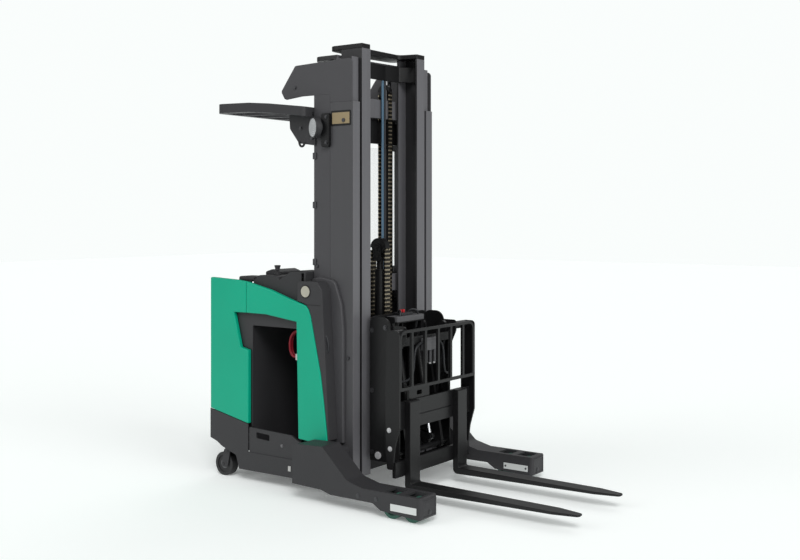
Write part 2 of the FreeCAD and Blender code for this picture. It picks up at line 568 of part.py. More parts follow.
outer_rails = channel("outer_rail", "outer_lip", "outer_half", mast_back, "mast_front", "outer_flange",
                      "outer_web", "mast_base", "outer_top")
node("outer_rails", gathered("outer_rails", outer_rails))
middle_in = "(inner_half + rail_gap)"
middle_out = "(outer_half - outer_web - rail_gap)"
middle_back = "(mast_front - outer_deep + outer_flange + rail_gap)"
middle_front = "(mast_front - outer_flange - rail_gap)"
middle_rails = channel("middle_rail", middle_in, middle_out, middle_back, middle_front, "middle_flange",
                       "middle_web", "mast_base + 15", "middle_top", opens_out=True)
node("middle_rails", gathered("middle_rails", middle_rails))
inner_back = "(mast_front - inner_deep)"
inner_rails = channel("inner_rail", "inner_lip", "inner_half", inner_back, "mast_front", "inner_flange",
                      "inner_web", "mast_base + 30", "inner_top")
node("inner_rails", gathered("inner_rails", inner_rails))

# Ties, the middle stage's behind the inner rails and the outer stage's behind both
middle_tie = "(mast_front - inner_deep - 19)"
middle_tie_back = "(mast_front - inner_deep - 19 - tie_deep)"
wings = []
for word, side in SIDES:
    for k, (low, high) in enumerate((("mast_base + 15", 200), (1180, 1290), (2290, 2410), (2540, "middle_top"))):
        wings.append(block("middle_wing_%s_%d" % (word, k), middle_tie_back, middle_back,
                           *span(side, middle_in, middle_in + " + middle_web"), low, high))
bars = [block("middle_bar_%d" % k, middle_tie_back, middle_tie, "-" + middle_in, middle_in, low, high)
        for k, (low, high) in enumerate((("mast_base + 15", 200), (1180, 1290), (2290, 2410)))]
crown_plate = slab("middle_crown", "xy",
                   [(middle_tie, "-(inner_half + rail_gap + middle_web)"),
                    (-535, "-(inner_half + rail_gap + middle_web)", 60), (-550, 0),
                    (-535, "inner_half + rail_gap + middle_web", 60),
                    (middle_tie, "inner_half + rail_gap + middle_web"), (-366, 0)],
                   "middle_top", "middle_top + 28")
sheave_arms = []
for word, side in SIDES:
    for k, (low, high) in enumerate((("chain_y - chain_wide / 2 - 14", "chain_y - chain_wide / 2 - 6"),
                                     ("chain_y + chain_wide / 2 + 6", "chain_y + chain_wide / 2 + 14"))):
        sheave_arms.append(slab("sheave_arm_%s_%d" % (word, k), "xz",
                                [(middle_tie_back, 2380), (middle_tie, 2380), (middle_tie, 2480, 10),
                                 ("chain_x - chain_wheel - 14", 2490, 10),
                                 ("chain_x - chain_wheel - 14", 2440)], *span(side, low, high)))
node("middle_ties", fused("middle_ties", wings + bars + [crown_plate] + sheave_arms))

outer_tie = "(mast_front - inner_deep - 19 - tie_deep - 6)"
outer_tie_back = "(mast_front - inner_deep - 19 - tie_deep * 2 - 12)"
outer_bars = []
for k, (low, high) in enumerate(((1000, 1100), (2130, 2270))):
    outer_bars.append(block("outer_bar_%d" % k, outer_tie_back, outer_tie, "-(outer_half - plate)",
                            "outer_half - plate", low, high))
    for word, side in SIDES:
        outer_bars.append(block("outer_foot_%d_%s" % (k, word), outer_tie, mast_back,
                                *span(side, "outer_lip + 8", "outer_half - plate"), low, high))
outer_bars += [block("chain_anchor_" + word, "chain_x - chain_wheel * 2 - 10", outer_tie_back,
                     *span(side, "chain_y - chain_wide / 2 - 4", "chain_y + chain_wide / 2 + 4"), 1070, 1100)
               for word, side in SIDES]
node("outer_ties", fused("outer_ties", outer_bars))

inner_bars = [block("inner_foot", inner_back + " - 12", "free_x + free_radius + 10", "-inner_lip", "inner_lip",
                    "mast_base + 30", 165),
              fused("inner_waist", [block("inner_waist_bar", inner_back, inner_back + " + 14", "-inner_lip",
                                          "inner_lip", 430, 480),
                                    block("inner_waist_pad", inner_back + " - 12", inner_back, -24, 130,
                                          450, 480)])]
head_bow = slab("inner_head", "xy",
                [("mast_front - 40", "-(inner_half - inner_web)"), (inner_back + " + 15", "-inner_lip", 30),
                 (inner_back + " - 10", -120, 90), (inner_back + " - 10", 120, 90),
                 (inner_back + " + 15", "inner_lip", 30), ("mast_front - 40", "inner_half - inner_web"),
                 ("mast_front - 54", "inner_half - inner_web"),
                 (inner_back + " + 29", "inner_lip - 12", 30), (inner_back + " + 4", 115, 80),
                 (inner_back + " + 4", -115, 80), (inner_back + " + 29", "-(inner_lip - 12)", 30),
                 ("mast_front - 54", "-(inner_half - inner_web)")], 2532, 2630)
inner_crown = slab("inner_crown", "xy",
                   [("mast_front", "-inner_half"), (-420, "-inner_half", 50), (-450, 0),
                    (-420, "inner_half", 50), ("mast_front", "inner_half"), ("mast_front", "inner_lip", 12),
                    ("mast_front - 120", "inner_lip - 30", 40), ("mast_front - 120", "-(inner_lip - 30)", 40),
                    ("mast_front", "-inner_lip", 12)], "inner_top", "inner_top + 28")
node("inner_ties", gathered("inner_ties", inner_bars + [head_bow, inner_crown]))

# Main lift cylinders, hollow so that their rods run inside them
barrels = []
for word, side in SIDES:
    spot_y = "%d * jack_y" % side
    barrels.append(cut("jack_" + word,
                       rod("jack_body_" + word, "z", "jack_radius", 215, "jack_top", "jack_x", spot_y),
                       [rod("jack_bore_" + word, "z", "jack_rod + running * 4", 300, "jack_top + 10",
                            "jack_x", spot_y)]))
node("lift_barrels", gathered("lift_barrels", barrels))
node("lift_rods", gathered("lift_rods", [rod("lift_rod_" + word, "z", "jack_rod", 330, "middle_top",
                                             "jack_x", "%d * jack_y" % side) for word, side in SIDES]))

# Towers behind the mast, their top covers, the screen and the guard
tower_back = "(mast_front - outer_deep - tower_deep)"
tower_side = [(tower_back, 312), (tower_back, "tower_top"), (mast_back, "tower_top"), (mast_back, 312)]
tower_sides = pair("tower", "xz", tower_side, "outer_half - plate", "outer_half")
node("towers", gathered("towers", tower_sides))
cover_side = [(-621, 2593, 20), ("mast_front - 8", 2608, 26), ("mast_front - 8", "outer_top"),
              ("mast_front - outer_deep", "outer_top"), ("mast_front - outer_deep", "tower_top"),
              (-560, "tower_top"), (-704, 2386, 30), (-737, 2440, 20)]
node("top_covers", gathered("top_covers", pair("top_cover", "xz", cover_side, "outer_half - plate",
                                               "outer_half")))
screen = block("screen", tower_back + " + 0.5", tower_back + " + 3.5", "-(outer_half - plate)",
               "outer_half - plate", 1300, 2110)
node("screen", screen)

guard_side = [("rear", "guard_top - guard_thick", 14), ("rear", "guard_top", 10),
              ("rear + 325", "guard_top - 8"), ("rear + 495", "guard_top - 23"),
              ("guard_front", "guard_top - guard_drop - 10"),
              ("guard_front", "guard_top - guard_drop - 10 - guard_thick"),
              ("rear + 495", "guard_top - 23 - guard_thick"), ("rear + 325", "guard_top - 8 - guard_thick")]
bar_gap = "((guard_half - guard_rim) * 2 / 5)"
windows = []
for k in range(5):
    low = "(guard_rim - guard_half + %d * %s + %d)" % (k, bar_gap, 0 if k == 0 else 14)
    high = "(guard_rim - guard_half + %d * %s - %d)" % (k + 1, bar_gap, 0 if k == 4 else 14)
    windows.append([("rear + guard_rim", low, 24), ("rear + guard_rim", high, 24),
                    ("guard_front - guard_rim", high, 24), ("guard_front - guard_rim", low, 24)])
guard_plan = slab("guard_plan", "xy", [("rear", "-guard_half", 110), ("rear", "guard_half", 110),
                                       ("guard_front", "guard_half", 30), ("guard_front", "-guard_half", 30)],
                  2100, 2500, holes=windows)
guard_edge = slab("guard_edge", "xz", guard_side, "-guard_half", "guard_half")
brackets = pair("guard_bracket", "xz",
                [("guard_front - 190", "guard_top - guard_drop + 14 - guard_thick"),
                 ("guard_front", "guard_top - guard_drop - 10 - guard_thick"),
                 ("guard_front + 20", "guard_top - guard_drop - 10 - guard_thick"),
                 ("guard_front + 20", 2094), ("guard_front - 110", 2112, 20),
                 ("guard_front - 184", 2204, 30)], "outer_half", "outer_half + 10")
node("overhead_guard", fused("overhead_guard", [common("guard_roof", guard_edge, guard_plan)] + brackets))
# Work lamp on the right tower
lamp_y = "-(outer_half + 40)"
node("lamp_housing", fused("lamp_housing", [
    rod("lamp_shell", "y", 64, "-(outer_half + 46)", "-(outer_half + 10)", -424, 2200),
    rod("lamp_post", "y", 18, "-(outer_half + 12)", "-outer_half", -424, 2200)]))
node("lamp_lens", rod("lamp_lens", "y", 56, "-(outer_half + 54)", "-(outer_half + 46)", -424, 2200))

# Lift chains over their sheaves on the middle stage
fronts = [block("chain_front_" + word, "chain_x - chain_thick / 2", "chain_x + chain_thick / 2",
                *span(side, "chain_y - chain_wide / 2", "chain_y + chain_wide / 2"), 165,
                "chain_wheel_z") for word, side in SIDES]
node("lift_chain_fronts", gathered("lift_chain_fronts", fronts))
rears = [block("chain_rear_" + word, "chain_x - chain_wheel * 2 - chain_thick / 2",
               "chain_x - chain_wheel * 2 + chain_thick / 2",
               *span(side, "chain_y - chain_wide / 2", "chain_y + chain_wide / 2"), 1100,
               "chain_wheel_z") for word, side in SIDES]
node("lift_chain_rears", gathered("lift_chain_rears", rears))


def wrapped(name, radius, low, high, across, up):
    """A sheave with the chain's bend laid over its upper half."""
    disc = rod(name + "_disc", "y", "%s - chain_thick / 2" % radius, low, high, across, up)
    bend = cut(name + "_bend", rod(name + "_over", "y", "%s + chain_thick / 2" % radius, low, high, across, up),
               [rod(name + "_under", "y", "%s - chain_thick / 2 - 1" % radius, low, high, across, up),
                block(name + "_half", "%s - %s - chain_thick" % (across, radius),
                      "%s + %s + chain_thick" % (across, radius), low, high,
                      "%s - %s - chain_thick" % (up, radius), up)])
    return fused(name, [disc, bend])


wheels = []
for word, side in SIDES:
    sheave_x = "chain_x - chain_wheel"
    near, far = span(side, "chain_y - chain_wide / 2", "chain_y + chain_wide / 2")
    disc = wrapped("lift_disc_" + word, "chain_wheel", near, far, sheave_x, "chain_wheel_z")
    pin_low, pin_high = span(side, "chain_y - chain_wide / 2 - 6", "chain_y + chain_wide / 2 + 6")
    wheels.append(fused("lift_sheave_" + word,
                        [disc, rod("lift_pin_" + word, "y", 14, pin_low, pin_high, sheave_x,
                                   "chain_wheel_z")]))
node("lift_sheaves", gathered("lift_sheaves", wheels))

# Free lift cylinder, its rod with the sheave, and the chain's two runs
free_body = rod("free_body", "z", "free_radius", 165, "free_top", "free_x", 0)
free_bore = rod("free_bore", "z", "free_rod + running * 4", 330, "free_top + 10", "free_x", 0)
node("free_barrel", cut("free_barrel", free_body, [free_bore]))
free_stem = rod("free_stem", "z", "free_rod", 360, "free_wheel_z - free_wheel - 12", "free_x", 0)
yoke_base = block("free_yoke_base", "free_x - 34", "free_x + 34", "-free_cheek", "free_cheek",
                  "free_wheel_z - free_wheel - 30", "free_wheel_z - free_wheel - 10")
cheek_plates = [slab("free_cheek_" + word, "xz",
                     [("free_x - 34", "free_wheel_z - free_wheel - 30"),
                      ("free_x - 20", "free_wheel_z + 20", 16), ("free_x + 20", "free_wheel_z + 20", 16),
                      ("free_x + 34", "free_wheel_z - free_wheel - 30")],
                     *span(side, "free_cheek - 8", "free_cheek"))
                for word, side in SIDES]
free_axle = rod("free_axle", "y", 12, "-free_cheek - 4", "free_cheek + 4", "free_x", "free_wheel_z")
free_disc = wrapped("free_disc", "free_wheel", "-free_chain_wide / 2", "free_chain_wide / 2", "free_x",
                    "free_wheel_z")
node("free_head", fused("free_head", [free_stem, yoke_base, free_axle, free_disc] + cheek_plates))
for word, shift, low in (("front", "free_x + free_wheel", 500), ("rear", "free_x - free_wheel", 480)):
    node("free_chain_" + word, block("free_chain_" + word, shift + " - chain_thick / 2",
                                     shift + " + chain_thick / 2", "-free_chain_wide / 2",
                                     "free_chain_wide / 2", low, "free_wheel_z"))
node("hoses", gathered("hoses", [rod("hose_%d" % k, "z", 8, 480, 2532, inner_back + " - 4", y)
                                 for k, y in enumerate((95, 118))]))

# Mast carriage with its rollers in the inner rails
roller_x = "(mast_front - inner_deep / 2)"
web_in = 130
track_front = "carriage_back + carriage_plate + carriage_shoulder"
windows = [[(-web_in, 530, 20), (-web_in, 870, 20), (web_in, 870, 20), (web_in, 530, 20)],
           [(-web_in, 250, 20), (-web_in, 450, 20), (web_in, 450, 20), (web_in, 250, 20)]]
plates = []
for name, half, start, end in (
        ("carriage_plate", "plate_half", "carriage_back", "carriage_back + carriage_plate"),
        ("carriage_front_plate", "carriage_half", "carriage_back + carriage_plate", track_front)):
    plates.append(slab(name, "yz",
                       [("-" + half, "carriage_base"), ("-" + half, "carriage_top", 40),
                        (half, "carriage_top", 40), (half, "carriage_base")],
                       start, end, holes=windows))
side_shape = [("carriage_back + 20", "carriage_base"), ("carriage_back + 20", "carriage_top", 50),
              (0, "carriage_top", 60), ("carriage_nose", 960, 60), ("carriage_nose", 560, 100),
              ("carriage_nose - 8", 300, 60), ("carriage_nose - 20", "carriage_base", 20)]
side_plates = pair("carriage_cheek", "xz", side_shape, "carriage_half - carriage_side", "carriage_half")
tracks = pair("carriage_web", "xz",
              [(track_front, 570), (track_front, 1050), ("pivot_back + 29", 1050, 10),
               ("pivot_back + 29", 570, 10)], 140, 150)
guides = []
for word, side in SIDES:
    for k, shift in enumerate(("-(arm_roller + track_play + 5)", "arm_roller + track_play")):
        guides.append(block("carriage_guide_%s_%d" % (word, k), "pivot_back + " + shift,
                            "pivot_back + " + shift + " + 5", *span(side, 150, 168), 570, 1012))
hangers = []
for word, side in SIDES:
    for k, level in enumerate(("roller_low", "roller_high")):
        name = "hanger_%s_%d" % (word, k)
        hangers.append(fused(name, [
            slab(name + "_arm", "xz", [("carriage_back", level + " - 60"), ("carriage_back", level + " + 60"),
                                       (roller_x + " - 34", level + " + 34", 30),
                                       (roller_x + " - 34", level + " - 34", 30)], *span(side, 222, 238)),
            rod(name + "_pin", "y", 20, *span(side, 230, 262), roller_x, level),
            rod(name + "_roller", "y", "roller_radius", *span(side, 254, "inner_half - inner_web - 6"),
                roller_x, level)]))
pivots = [rod("carriage_pivot_" + word, "y", "pin", *span(side, "arm_outer_y", "carriage_half"),
              "pivot_back", "pivot_z") for word, side in SIDES]
top_box = block("carriage_box", track_front, "-40", -140, 140, 1012, 1050)
lugs = []
for word, side in SIDES:
    for k, (low, high) in enumerate((("cylinder_y - reach_barrel - 12", "cylinder_y - reach_barrel - 4"),
                                     ("cylinder_y + reach_barrel + 4", "cylinder_y + reach_barrel + 12"))):
        lugs.append(slab("carriage_lug_%s_%d" % (word, k), "xz",
                         [(track_front, 1012), (track_front, "cylinder_top_z - 40"),
                          ("cylinder_top_x", "cylinder_top_z - 24", 10),
                          ("cylinder_top_x + 24", "cylinder_top_z", 20),
                          ("cylinder_top_x + 24", 1012)], *span(side, low, high)))
    lugs.append(rod("carriage_eye_" + word, "y", 10,
                    *span(side, "cylinder_y - reach_barrel - 8", "cylinder_y + reach_barrel + 8"),
                    "cylinder_top_x", "cylinder_top_z"))
anchor = block("free_anchor", "free_x + free_wheel - 12", "carriage_back", "-free_chain_wide / 2 - 3",
               "free_chain_wide / 2 + 3", 470, 500)
node("mast_carriage", fused("mast_carriage", plates + [top_box, anchor] + side_plates + tracks + guides +
                            pivots + lugs))
node("mast_rollers", gathered("mast_rollers", hangers))

# Scissor arms, drawn upright and leaned to their folded angle
rise = "(track_z - pivot_z)"
arm_long = "sqrt(pivot_step^2 + (track_z - pivot_z)^2)"
lean = "atan(pivot_step / (track_z - pivot_z))"
pivot_front = "(pivot_back + pivot_step)"


def link(name, foot_x, foot_z, angle, forwards, length, width, low, high, bores=()):
    """A bar with round ends from a foot, leaned by an angle in the X-Z plane."""
    half = "(%s) / 2" % width
    bar = slab(name, "xz", [("-(%s)" % half, "-(%s)" % half, half + " - 0.1"),
                            ("-(%s)" % half, "%s + %s" % (length, half), half + " - 0.1"),
                            (half, "%s + %s" % (length, half), half + " - 0.1"),
                            (half, "-(%s)" % half, half + " - 0.1")], low, high, bores=bores)
    turn = FreeCAD.Rotation(V(0, 1 if forwards else -1, 0), amount_of("(%s) / (1 deg)" % angle))
    bar.Placement = FreeCAD.Placement(V(), turn)
    bar.setExpression("Placement.Rotation.Angle", bound(angle))
    bar.setExpression("Placement.Base.x", bound("(%s) * 1 mm" % foot_x))
    bar.setExpression("Placement.Base.z", bound("(%s) * 1 mm" % foot_z))
    return bar


centre_x = "(pivot_back + pivot_step / 2)"
centre_z = "((track_z + pivot_z) / 2)"
tube_x = "(pivot_back + tube_up * pivot_step / %s)" % arm_long
tube_z = "(pivot_z + tube_up * %s / %s)" % (rise, arm_long)
eye_x = "(pivot_back + crank * sin(crank_turn * 1 deg))"
eye_z = "(pivot_z + crank * cos(crank_turn * 1 deg))"
outer_parts = [rod("outer_tube", "y", 18, "-arm_outer_y - 4", "arm_outer_y + 4", tube_x, tube_z)]
inner_parts = [rod("inner_tube", "y", 18, "-arm_inner_y - 4", "arm_inner_y + 4", pivot_front, "pivot_z")]
for word, side in SIDES:
    outer_parts.append(link("outer_arm_" + word, "pivot_back", "pivot_z", lean, True, arm_long, "arm_wide",
                            *span(side, "arm_outer_y", "arm_outer_y + arm_thick"),
                            bores=[(0, 0, "pin + running"), (0, arm_long + " / 2", "pin + running")]))
    outer_parts.append(rod("outer_roller_" + word, "y", "arm_roller",
                           *span(side, "arm_outer_y + arm_thick - 2", "arm_outer_y + arm_thick + 19"),
                           pivot_front, "track_z"))
    inner_parts.append(link("inner_arm_" + word, pivot_front, "pivot_z", lean, False, arm_long, "arm_wide",
                            *span(side, "arm_inner_y", "arm_inner_y + arm_thick")))
    inner_parts.append(rod("inner_roller_" + word, "y", "arm_roller",
                           *span(side, "arm_inner_y - 22", "arm_inner_y + 2"), "pivot_back", "track_z"))
    inner_parts.append(rod("centre_pin_" + word, "y", "pin",
                           *span(side, "arm_inner_y", "arm_outer_y + arm_thick + 4"), centre_x, centre_z))
    for k, (low, high) in enumerate((("cylinder_y - 25", "cylinder_y - 15"),
                                     ("cylinder_y + 15", "cylinder_y + 25"))):
        outer_parts.append(link("crank_%s_%d" % (word, k), eye_x, eye_z,
                                "atan((%s - %s) / (%s - %s))" % (eye_x, tube_x, tube_z, eye_z), False,
                                "sqrt((%s - %s)^2 + (%s - %s)^2)" % (eye_x, tube_x, tube_z, eye_z), 38,
                                *span(side, low, high)))
    outer_parts.append(rod("crank_pin_" + word, "y", 7, *span(side, "cylinder_y - 20", "cylinder_y + 20"),
                           eye_x, eye_z))
centre_bores = [rod("inner_bore_" + word, "y", "pin + running",
                    *span(side, "arm_inner_y + 3.8", "arm_inner_y + arm_thick + 5"), pivot_front, "pivot_z")
                for word, side in SIDES]
node("reach_arms_outer", fused("reach_arms_outer", outer_parts))
node("reach_arms_inner", cut("reach_arms_inner", fused("inner_pair", inner_parts), centre_bores))

# Reach cylinders between the mast carriage and the cranks
run_back = "(%s - cylinder_top_x)" % eye_x
run_up = "(cylinder_top_z - %s)" % eye_z
stroke_line = "sqrt(%s^2 + %s^2)" % (run_back, run_up)


def leaning(name, radius, low, high, side):
    """A round bar on the line from the crank's eye up to the cylinder's top pin."""
    bar = doc.addObject("Part::Cylinder", name)
    angle = "atan(%s / %s)" % (run_back, run_up)
    bar.Placement = FreeCAD.Placement(V(), FreeCAD.Rotation(V(0, -1, 0), amount_of("(%s) / (1 deg)" % angle)))
    bar.setExpression("Placement.Rotation.Angle", bound(angle))
    bar.setExpression("Radius", bound(radius))
    bar.setExpression("Height", bound("(%s) - (%s)" % (high, low)))
    place(bar, "%s - (%s) * %s / %s" % (eye_x, low, run_back, stroke_line), "%d * cylinder_y" % side,
          "%s + (%s) * %s / %s" % (eye_z, low, run_up, stroke_line))
    return bar


reach_barrels = []
reach_rods = []
for word, side in SIDES:
    top_eye = rod("barrel_eye_" + word, "y", 24,
                  *span(side, "cylinder_y - reach_barrel + 5", "cylinder_y + reach_barrel - 5"), "cylinder_top_x",
                  "cylinder_top_z")
    barrel = leaning("barrel_tube_" + word, "reach_barrel", 200, stroke_line, side)
    tools = [leaning("barrel_bore_" + word, "reach_rod + running * 4", 190, stroke_line + " - 40", side),
             rod("barrel_hole_" + word, "y", "10 + running",
                 *span(side, "cylinder_y - 40", "cylinder_y + 40"), "cylinder_top_x", "cylinder_top_z")]
    reach_barrels.append(cut("reach_barrel_" + word, fused("barrel_whole_" + word, [barrel, top_eye]), tools))
    rod_eye = rod("rod_eye_" + word, "y", 24, *span(side, "cylinder_y - 11", "cylinder_y + 11"), eye_x, eye_z)
    stem = leaning("rod_stem_" + word, "reach_rod", 16, 480, side)
    reach_rods.append(cut("reach_rod_" + word, fused("rod_whole_" + word, [stem, rod_eye]),
                          [rod("rod_hole_" + word, "y", 17, *span(side, "cylinder_y - 40", "cylinder_y + 40"),
                               eye_x, eye_z)]))
node("reach_barrels", gathered("reach_barrels", reach_barrels))
node("reach_rods", gathered("reach_rods", reach_rods))

# Reach head, which the arms push out and which the fork frame hangs on
head_shape = [(10, 195), (10, 1012, 20), ("tilt_x + 22", 1012, 20), ("tilt_x + 22", 944, 20), (90, 880),
              (72, 860), (72, 195)]
head_parts = pair("head_cheek", "xz", head_shape, "head_half - head_plate", "head_half")
for word, side in SIDES:
    for k, shift in enumerate(("-(arm_roller + track_play + 5)", "arm_roller + track_play")):
        head_parts.append(block("head_guide_%s_%d" % (word, k), pivot_front + " + " + shift,
                                pivot_front + " + " + shift + " + 5",
                                *span(side, "arm_outer_y + arm_thick + 6", "head_half - head_plate"),
                                570, 1012))
    head_parts.append(rod("head_pivot_" + word, "y", "pin", *span(side, "arm_inner_y + 6", "head_half - 2"),
                          pivot_front, "pivot_z"))
    head_parts.append(rod("tilt_stub_" + word, "y", "tilt_pin", *span(side, "head_half - 4", "side_inner + side_thick"),
                          "tilt_x", "track_z"))
    head_parts.append(rod("tilt_spacer_" + word, "y", 24, *span(side, "head_half - 2", "side_inner - 5"),
                          "tilt_x", "track_z"))
head_parts.append(block("head_tie_top", 76, 88, "-(head_half - 1)", "head_half - 1", 892, 940))
head_parts.append(block("head_tie_low", 14, 70, "-(head_half - 1)", "head_half - 1", 195, 205))
node("reach_head", fused("reach_head", head_parts))

# Fork frame with side plates, backrest, fork bars and forks
rest_shape = [("rest_front - 100", 640), ("rest_front - 98", 300), ("rest_front - 88", 195, 10),
              ("rest_front - 48", 195, 10), ("rest_front - 32", 330), ("rest_front", 440, 20),
              ("rest_front", "rest_top", 24), ("rest_front - 88", "rest_top", 20), ("rest_front - 92", 940)]
node("side_plates", gathered("side_plates",
                             pair("side_plate", "xz", rest_shape, "side_inner", "side_inner + side_thick",
                                  bores=[("tilt_x", "track_z", "tilt_pin + running")])))
gaps = []
for k in range(6):
    low = "-side_inner" if k == 0 else "%d * rest_pitch + rest_bar_wide / 2" % (k - 3)
    high = "side_inner" if k == 5 else "%d * rest_pitch - rest_bar_wide / 2" % (k - 2)
    low = "-(side_inner - 14)" if k == 0 else low
    high = "side_inner - 14" if k == 5 else high
    gaps.append([(low, 668, 6), (low, "rest_top - 16", 36 if k == 0 else 6),
                 (high, "rest_top - 16", 36 if k == 5 else 6), (high, 668, 6)])
node("load_backrest", slab("load_backrest", "yz",
                           [("-side_inner", 650), ("-side_inner", "rest_top", 50),
                            ("side_inner", "rest_top", 50), ("side_inner", 650)],
                           "rest_front - rest_bar", "rest_front", holes=gaps))
shank_back = "(fork_face - fork_thick)"
upper = block("fork_bar_upper", "bar_back", shank_back, "-side_inner", "side_inner", 415, 580)
groove = block("fork_bar_groove", shank_back + " - 6", shank_back + " + 1", -190, 190, 483, 491)
lower_bar = block("fork_bar_lower", "bar_back", shank_back, "-side_inner", "side_inner", 145, 234)
bracket = slab("fork_bracket", "yz", [(-250, 580), (-250, 662, 8), (-40, 662, 8), (-40, 580)], "bar_back",
               "bar_back + 14", holes=[[(-170, 600, 4), (-170, 626, 4), (-120, 626, 4), (-120, 600, 4)]])
node("fork_bars", gathered("fork_bars", [fused("fork_bar_top", [cut("fork_bar_cut", upper, [groove]), bracket]),
                                         lower_bar]))
fork_side = [(shank_back, "fork_under", 30), (shank_back, "fork_top"), ("fork_face", "fork_top", 8),
             ("fork_face", "fork_under + fork_thick", 12), ("fork_face + 420", "fork_under + fork_thick"),
             ("fork_face + fork_reach", "fork_under + 27", 6), ("fork_face + fork_reach", "fork_under + 16", 4),
             ("fork_face + 200", "fork_under")]
for word, side in SIDES:
    low, high = span(side, "fork_y - fork_wide / 2", "fork_y + fork_wide / 2")
    outline = slab("fork_outline_" + word, "xz", fork_side, low, high)
    plan = slab("fork_plan_" + word, "xy", [(shank_back, low), (shank_back, high),
                                            ("fork_face + fork_reach - 150", high, 60),
                                            ("fork_face + fork_reach", high + " - 26", 20),
                                            ("fork_face + fork_reach", low + " + 26", 20),
                                            ("fork_face + fork_reach - 150", low, 60)], 0, "fork_top + 10")
    node("fork_" + word, common("fork_" + word, outline, plan))

# Battery lead in two strands, and the connector it ends in
LEAD = [(0, 0, 966), (-50, 0, 966), (-104, 0, 940), (-126, 0, 886), (-120, 0, 834), (-100, 0, 802),
        (-70, 0, 802)]


def strand(name, start, points, radius):
    """A round cable along straight runs joined by tangent arcs as large as the runs allow."""
    spots = [start + V(*p) for p in points]
    edges = []
    last = spots[0]
    for before, here, after in zip(spots, spots[1:], spots[2:]):
        come = (here - before).normalize()
        go = (after - here).normalize()
        turn = come.getAngle(go)
        reach = 0.45 * min((here - before).Length, (after - here).Length)
        bend = reach / math.tan(turn / 2)
        print("%s bend radius %.0f" % (name, bend))
        enter = here - come * reach
        leave = here + go * reach
        middle = here + (go - come).normalize() * (bend / math.cos(turn / 2) - bend)
        edges += [Part.LineSegment(last, enter).toShape(), Part.Arc(enter, middle, leave).toShape()]
        last = leave
    edges.append(Part.LineSegment(last, spots[-1]).toShape())
    spine = Part.Wire(edges)
    profile = Part.Wire(Part.Circle(spots[0], spots[1] - spots[0], radius).toShape())
    cable = doc.addObject("Part::Feature", name)
    cable.Shape = spine.makePipeShell([profile], True, False)
    return cable


wall = amount_of("bay_front")
cables = [strand("battery_cable_%d" % k, V(wall, y, 0), LEAD, 8) for k, y in enumerate((-452, -434))]
node("battery_lead", gathered("battery_lead", cables))
socket = block("battery_connector", "bay_front - 70", "bay_front", -466, -420, 782, 822)
node("battery_connector", socket)

doc.recompute()
for thing in doc.Objects:
    if {"Invalid", "Error"} & set(thing.State):
        raise RuntimeError("%s did not build: %s" % (thing.Name, thing.State))
for name, thing in nodes.items():
    if thing.Shape.isNull() or not thing.Shape.isValid() or not thing.Shape.Solids:
        raise RuntimeError("%s has no sound solid" % name)
for old in os.listdir("parts"):
    os.remove(os.path.join("parts", old))
for name, thing in nodes.items():
    thing.Shape.exportStep("parts/%s.step" % name)
    box = thing.Shape.BoundBox
    print("%-20s %2d solids %8.1f cm3  X %.0f..%.0f Y %.0f..%.0f Z %.0f..%.0f" % (
        name, len(thing.Shape.Solids), thing.Shape.Volume / 1000, box.XMin, box.XMax, box.YMin, box.YMax,
        box.ZMin, box.ZMax))
print(len(nodes), "nodes")
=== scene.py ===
"""Looks of a stand-up reach truck: finishes, rounded shells, chains, fasteners, battery lead and studio.

Lengths are in metres. X points to the fork tips, Y to the truck's left and Z up.
"""

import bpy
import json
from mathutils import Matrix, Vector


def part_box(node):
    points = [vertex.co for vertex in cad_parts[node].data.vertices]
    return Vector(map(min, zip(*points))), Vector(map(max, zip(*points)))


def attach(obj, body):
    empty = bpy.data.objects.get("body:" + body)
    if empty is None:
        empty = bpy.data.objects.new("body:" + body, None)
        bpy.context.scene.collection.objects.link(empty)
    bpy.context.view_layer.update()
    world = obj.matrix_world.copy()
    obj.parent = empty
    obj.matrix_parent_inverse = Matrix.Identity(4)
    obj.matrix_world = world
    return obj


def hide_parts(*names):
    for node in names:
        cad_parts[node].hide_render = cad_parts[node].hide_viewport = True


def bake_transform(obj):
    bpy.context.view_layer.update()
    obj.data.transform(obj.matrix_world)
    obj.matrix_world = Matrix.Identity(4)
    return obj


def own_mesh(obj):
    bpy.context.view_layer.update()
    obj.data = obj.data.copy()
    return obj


bl_info = {
    "name": "Reach truck",
    "version": (1, 0, 0),
    "blender": (4, 2, 0),
    "location": "View3D > Sidebar > Reach truck",
    "description": "Dresses a stand-up reach truck and sets its studio",
    "category": "Object",
}

import json
import math

import bpy
from mathutils import Matrix, Vector

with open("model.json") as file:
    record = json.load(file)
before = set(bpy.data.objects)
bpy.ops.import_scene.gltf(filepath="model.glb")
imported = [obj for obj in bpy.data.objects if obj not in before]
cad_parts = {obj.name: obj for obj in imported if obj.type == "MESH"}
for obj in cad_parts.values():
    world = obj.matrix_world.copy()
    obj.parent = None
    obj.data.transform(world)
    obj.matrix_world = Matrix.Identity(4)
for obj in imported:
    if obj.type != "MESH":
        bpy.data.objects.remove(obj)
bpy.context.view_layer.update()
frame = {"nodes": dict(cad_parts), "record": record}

# the truck's sides and the sign of Y on each
SIDES = (("right", -1), ("left", 1))
CHAIN_PITCH = 0.0254  # one inch, the pitch of the lift chains


def low(node):
    """Lowest corner of a CAD node."""
    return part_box(node)[0]


def high(node):
    """Highest corner of a CAD node."""
    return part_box(node)[1]


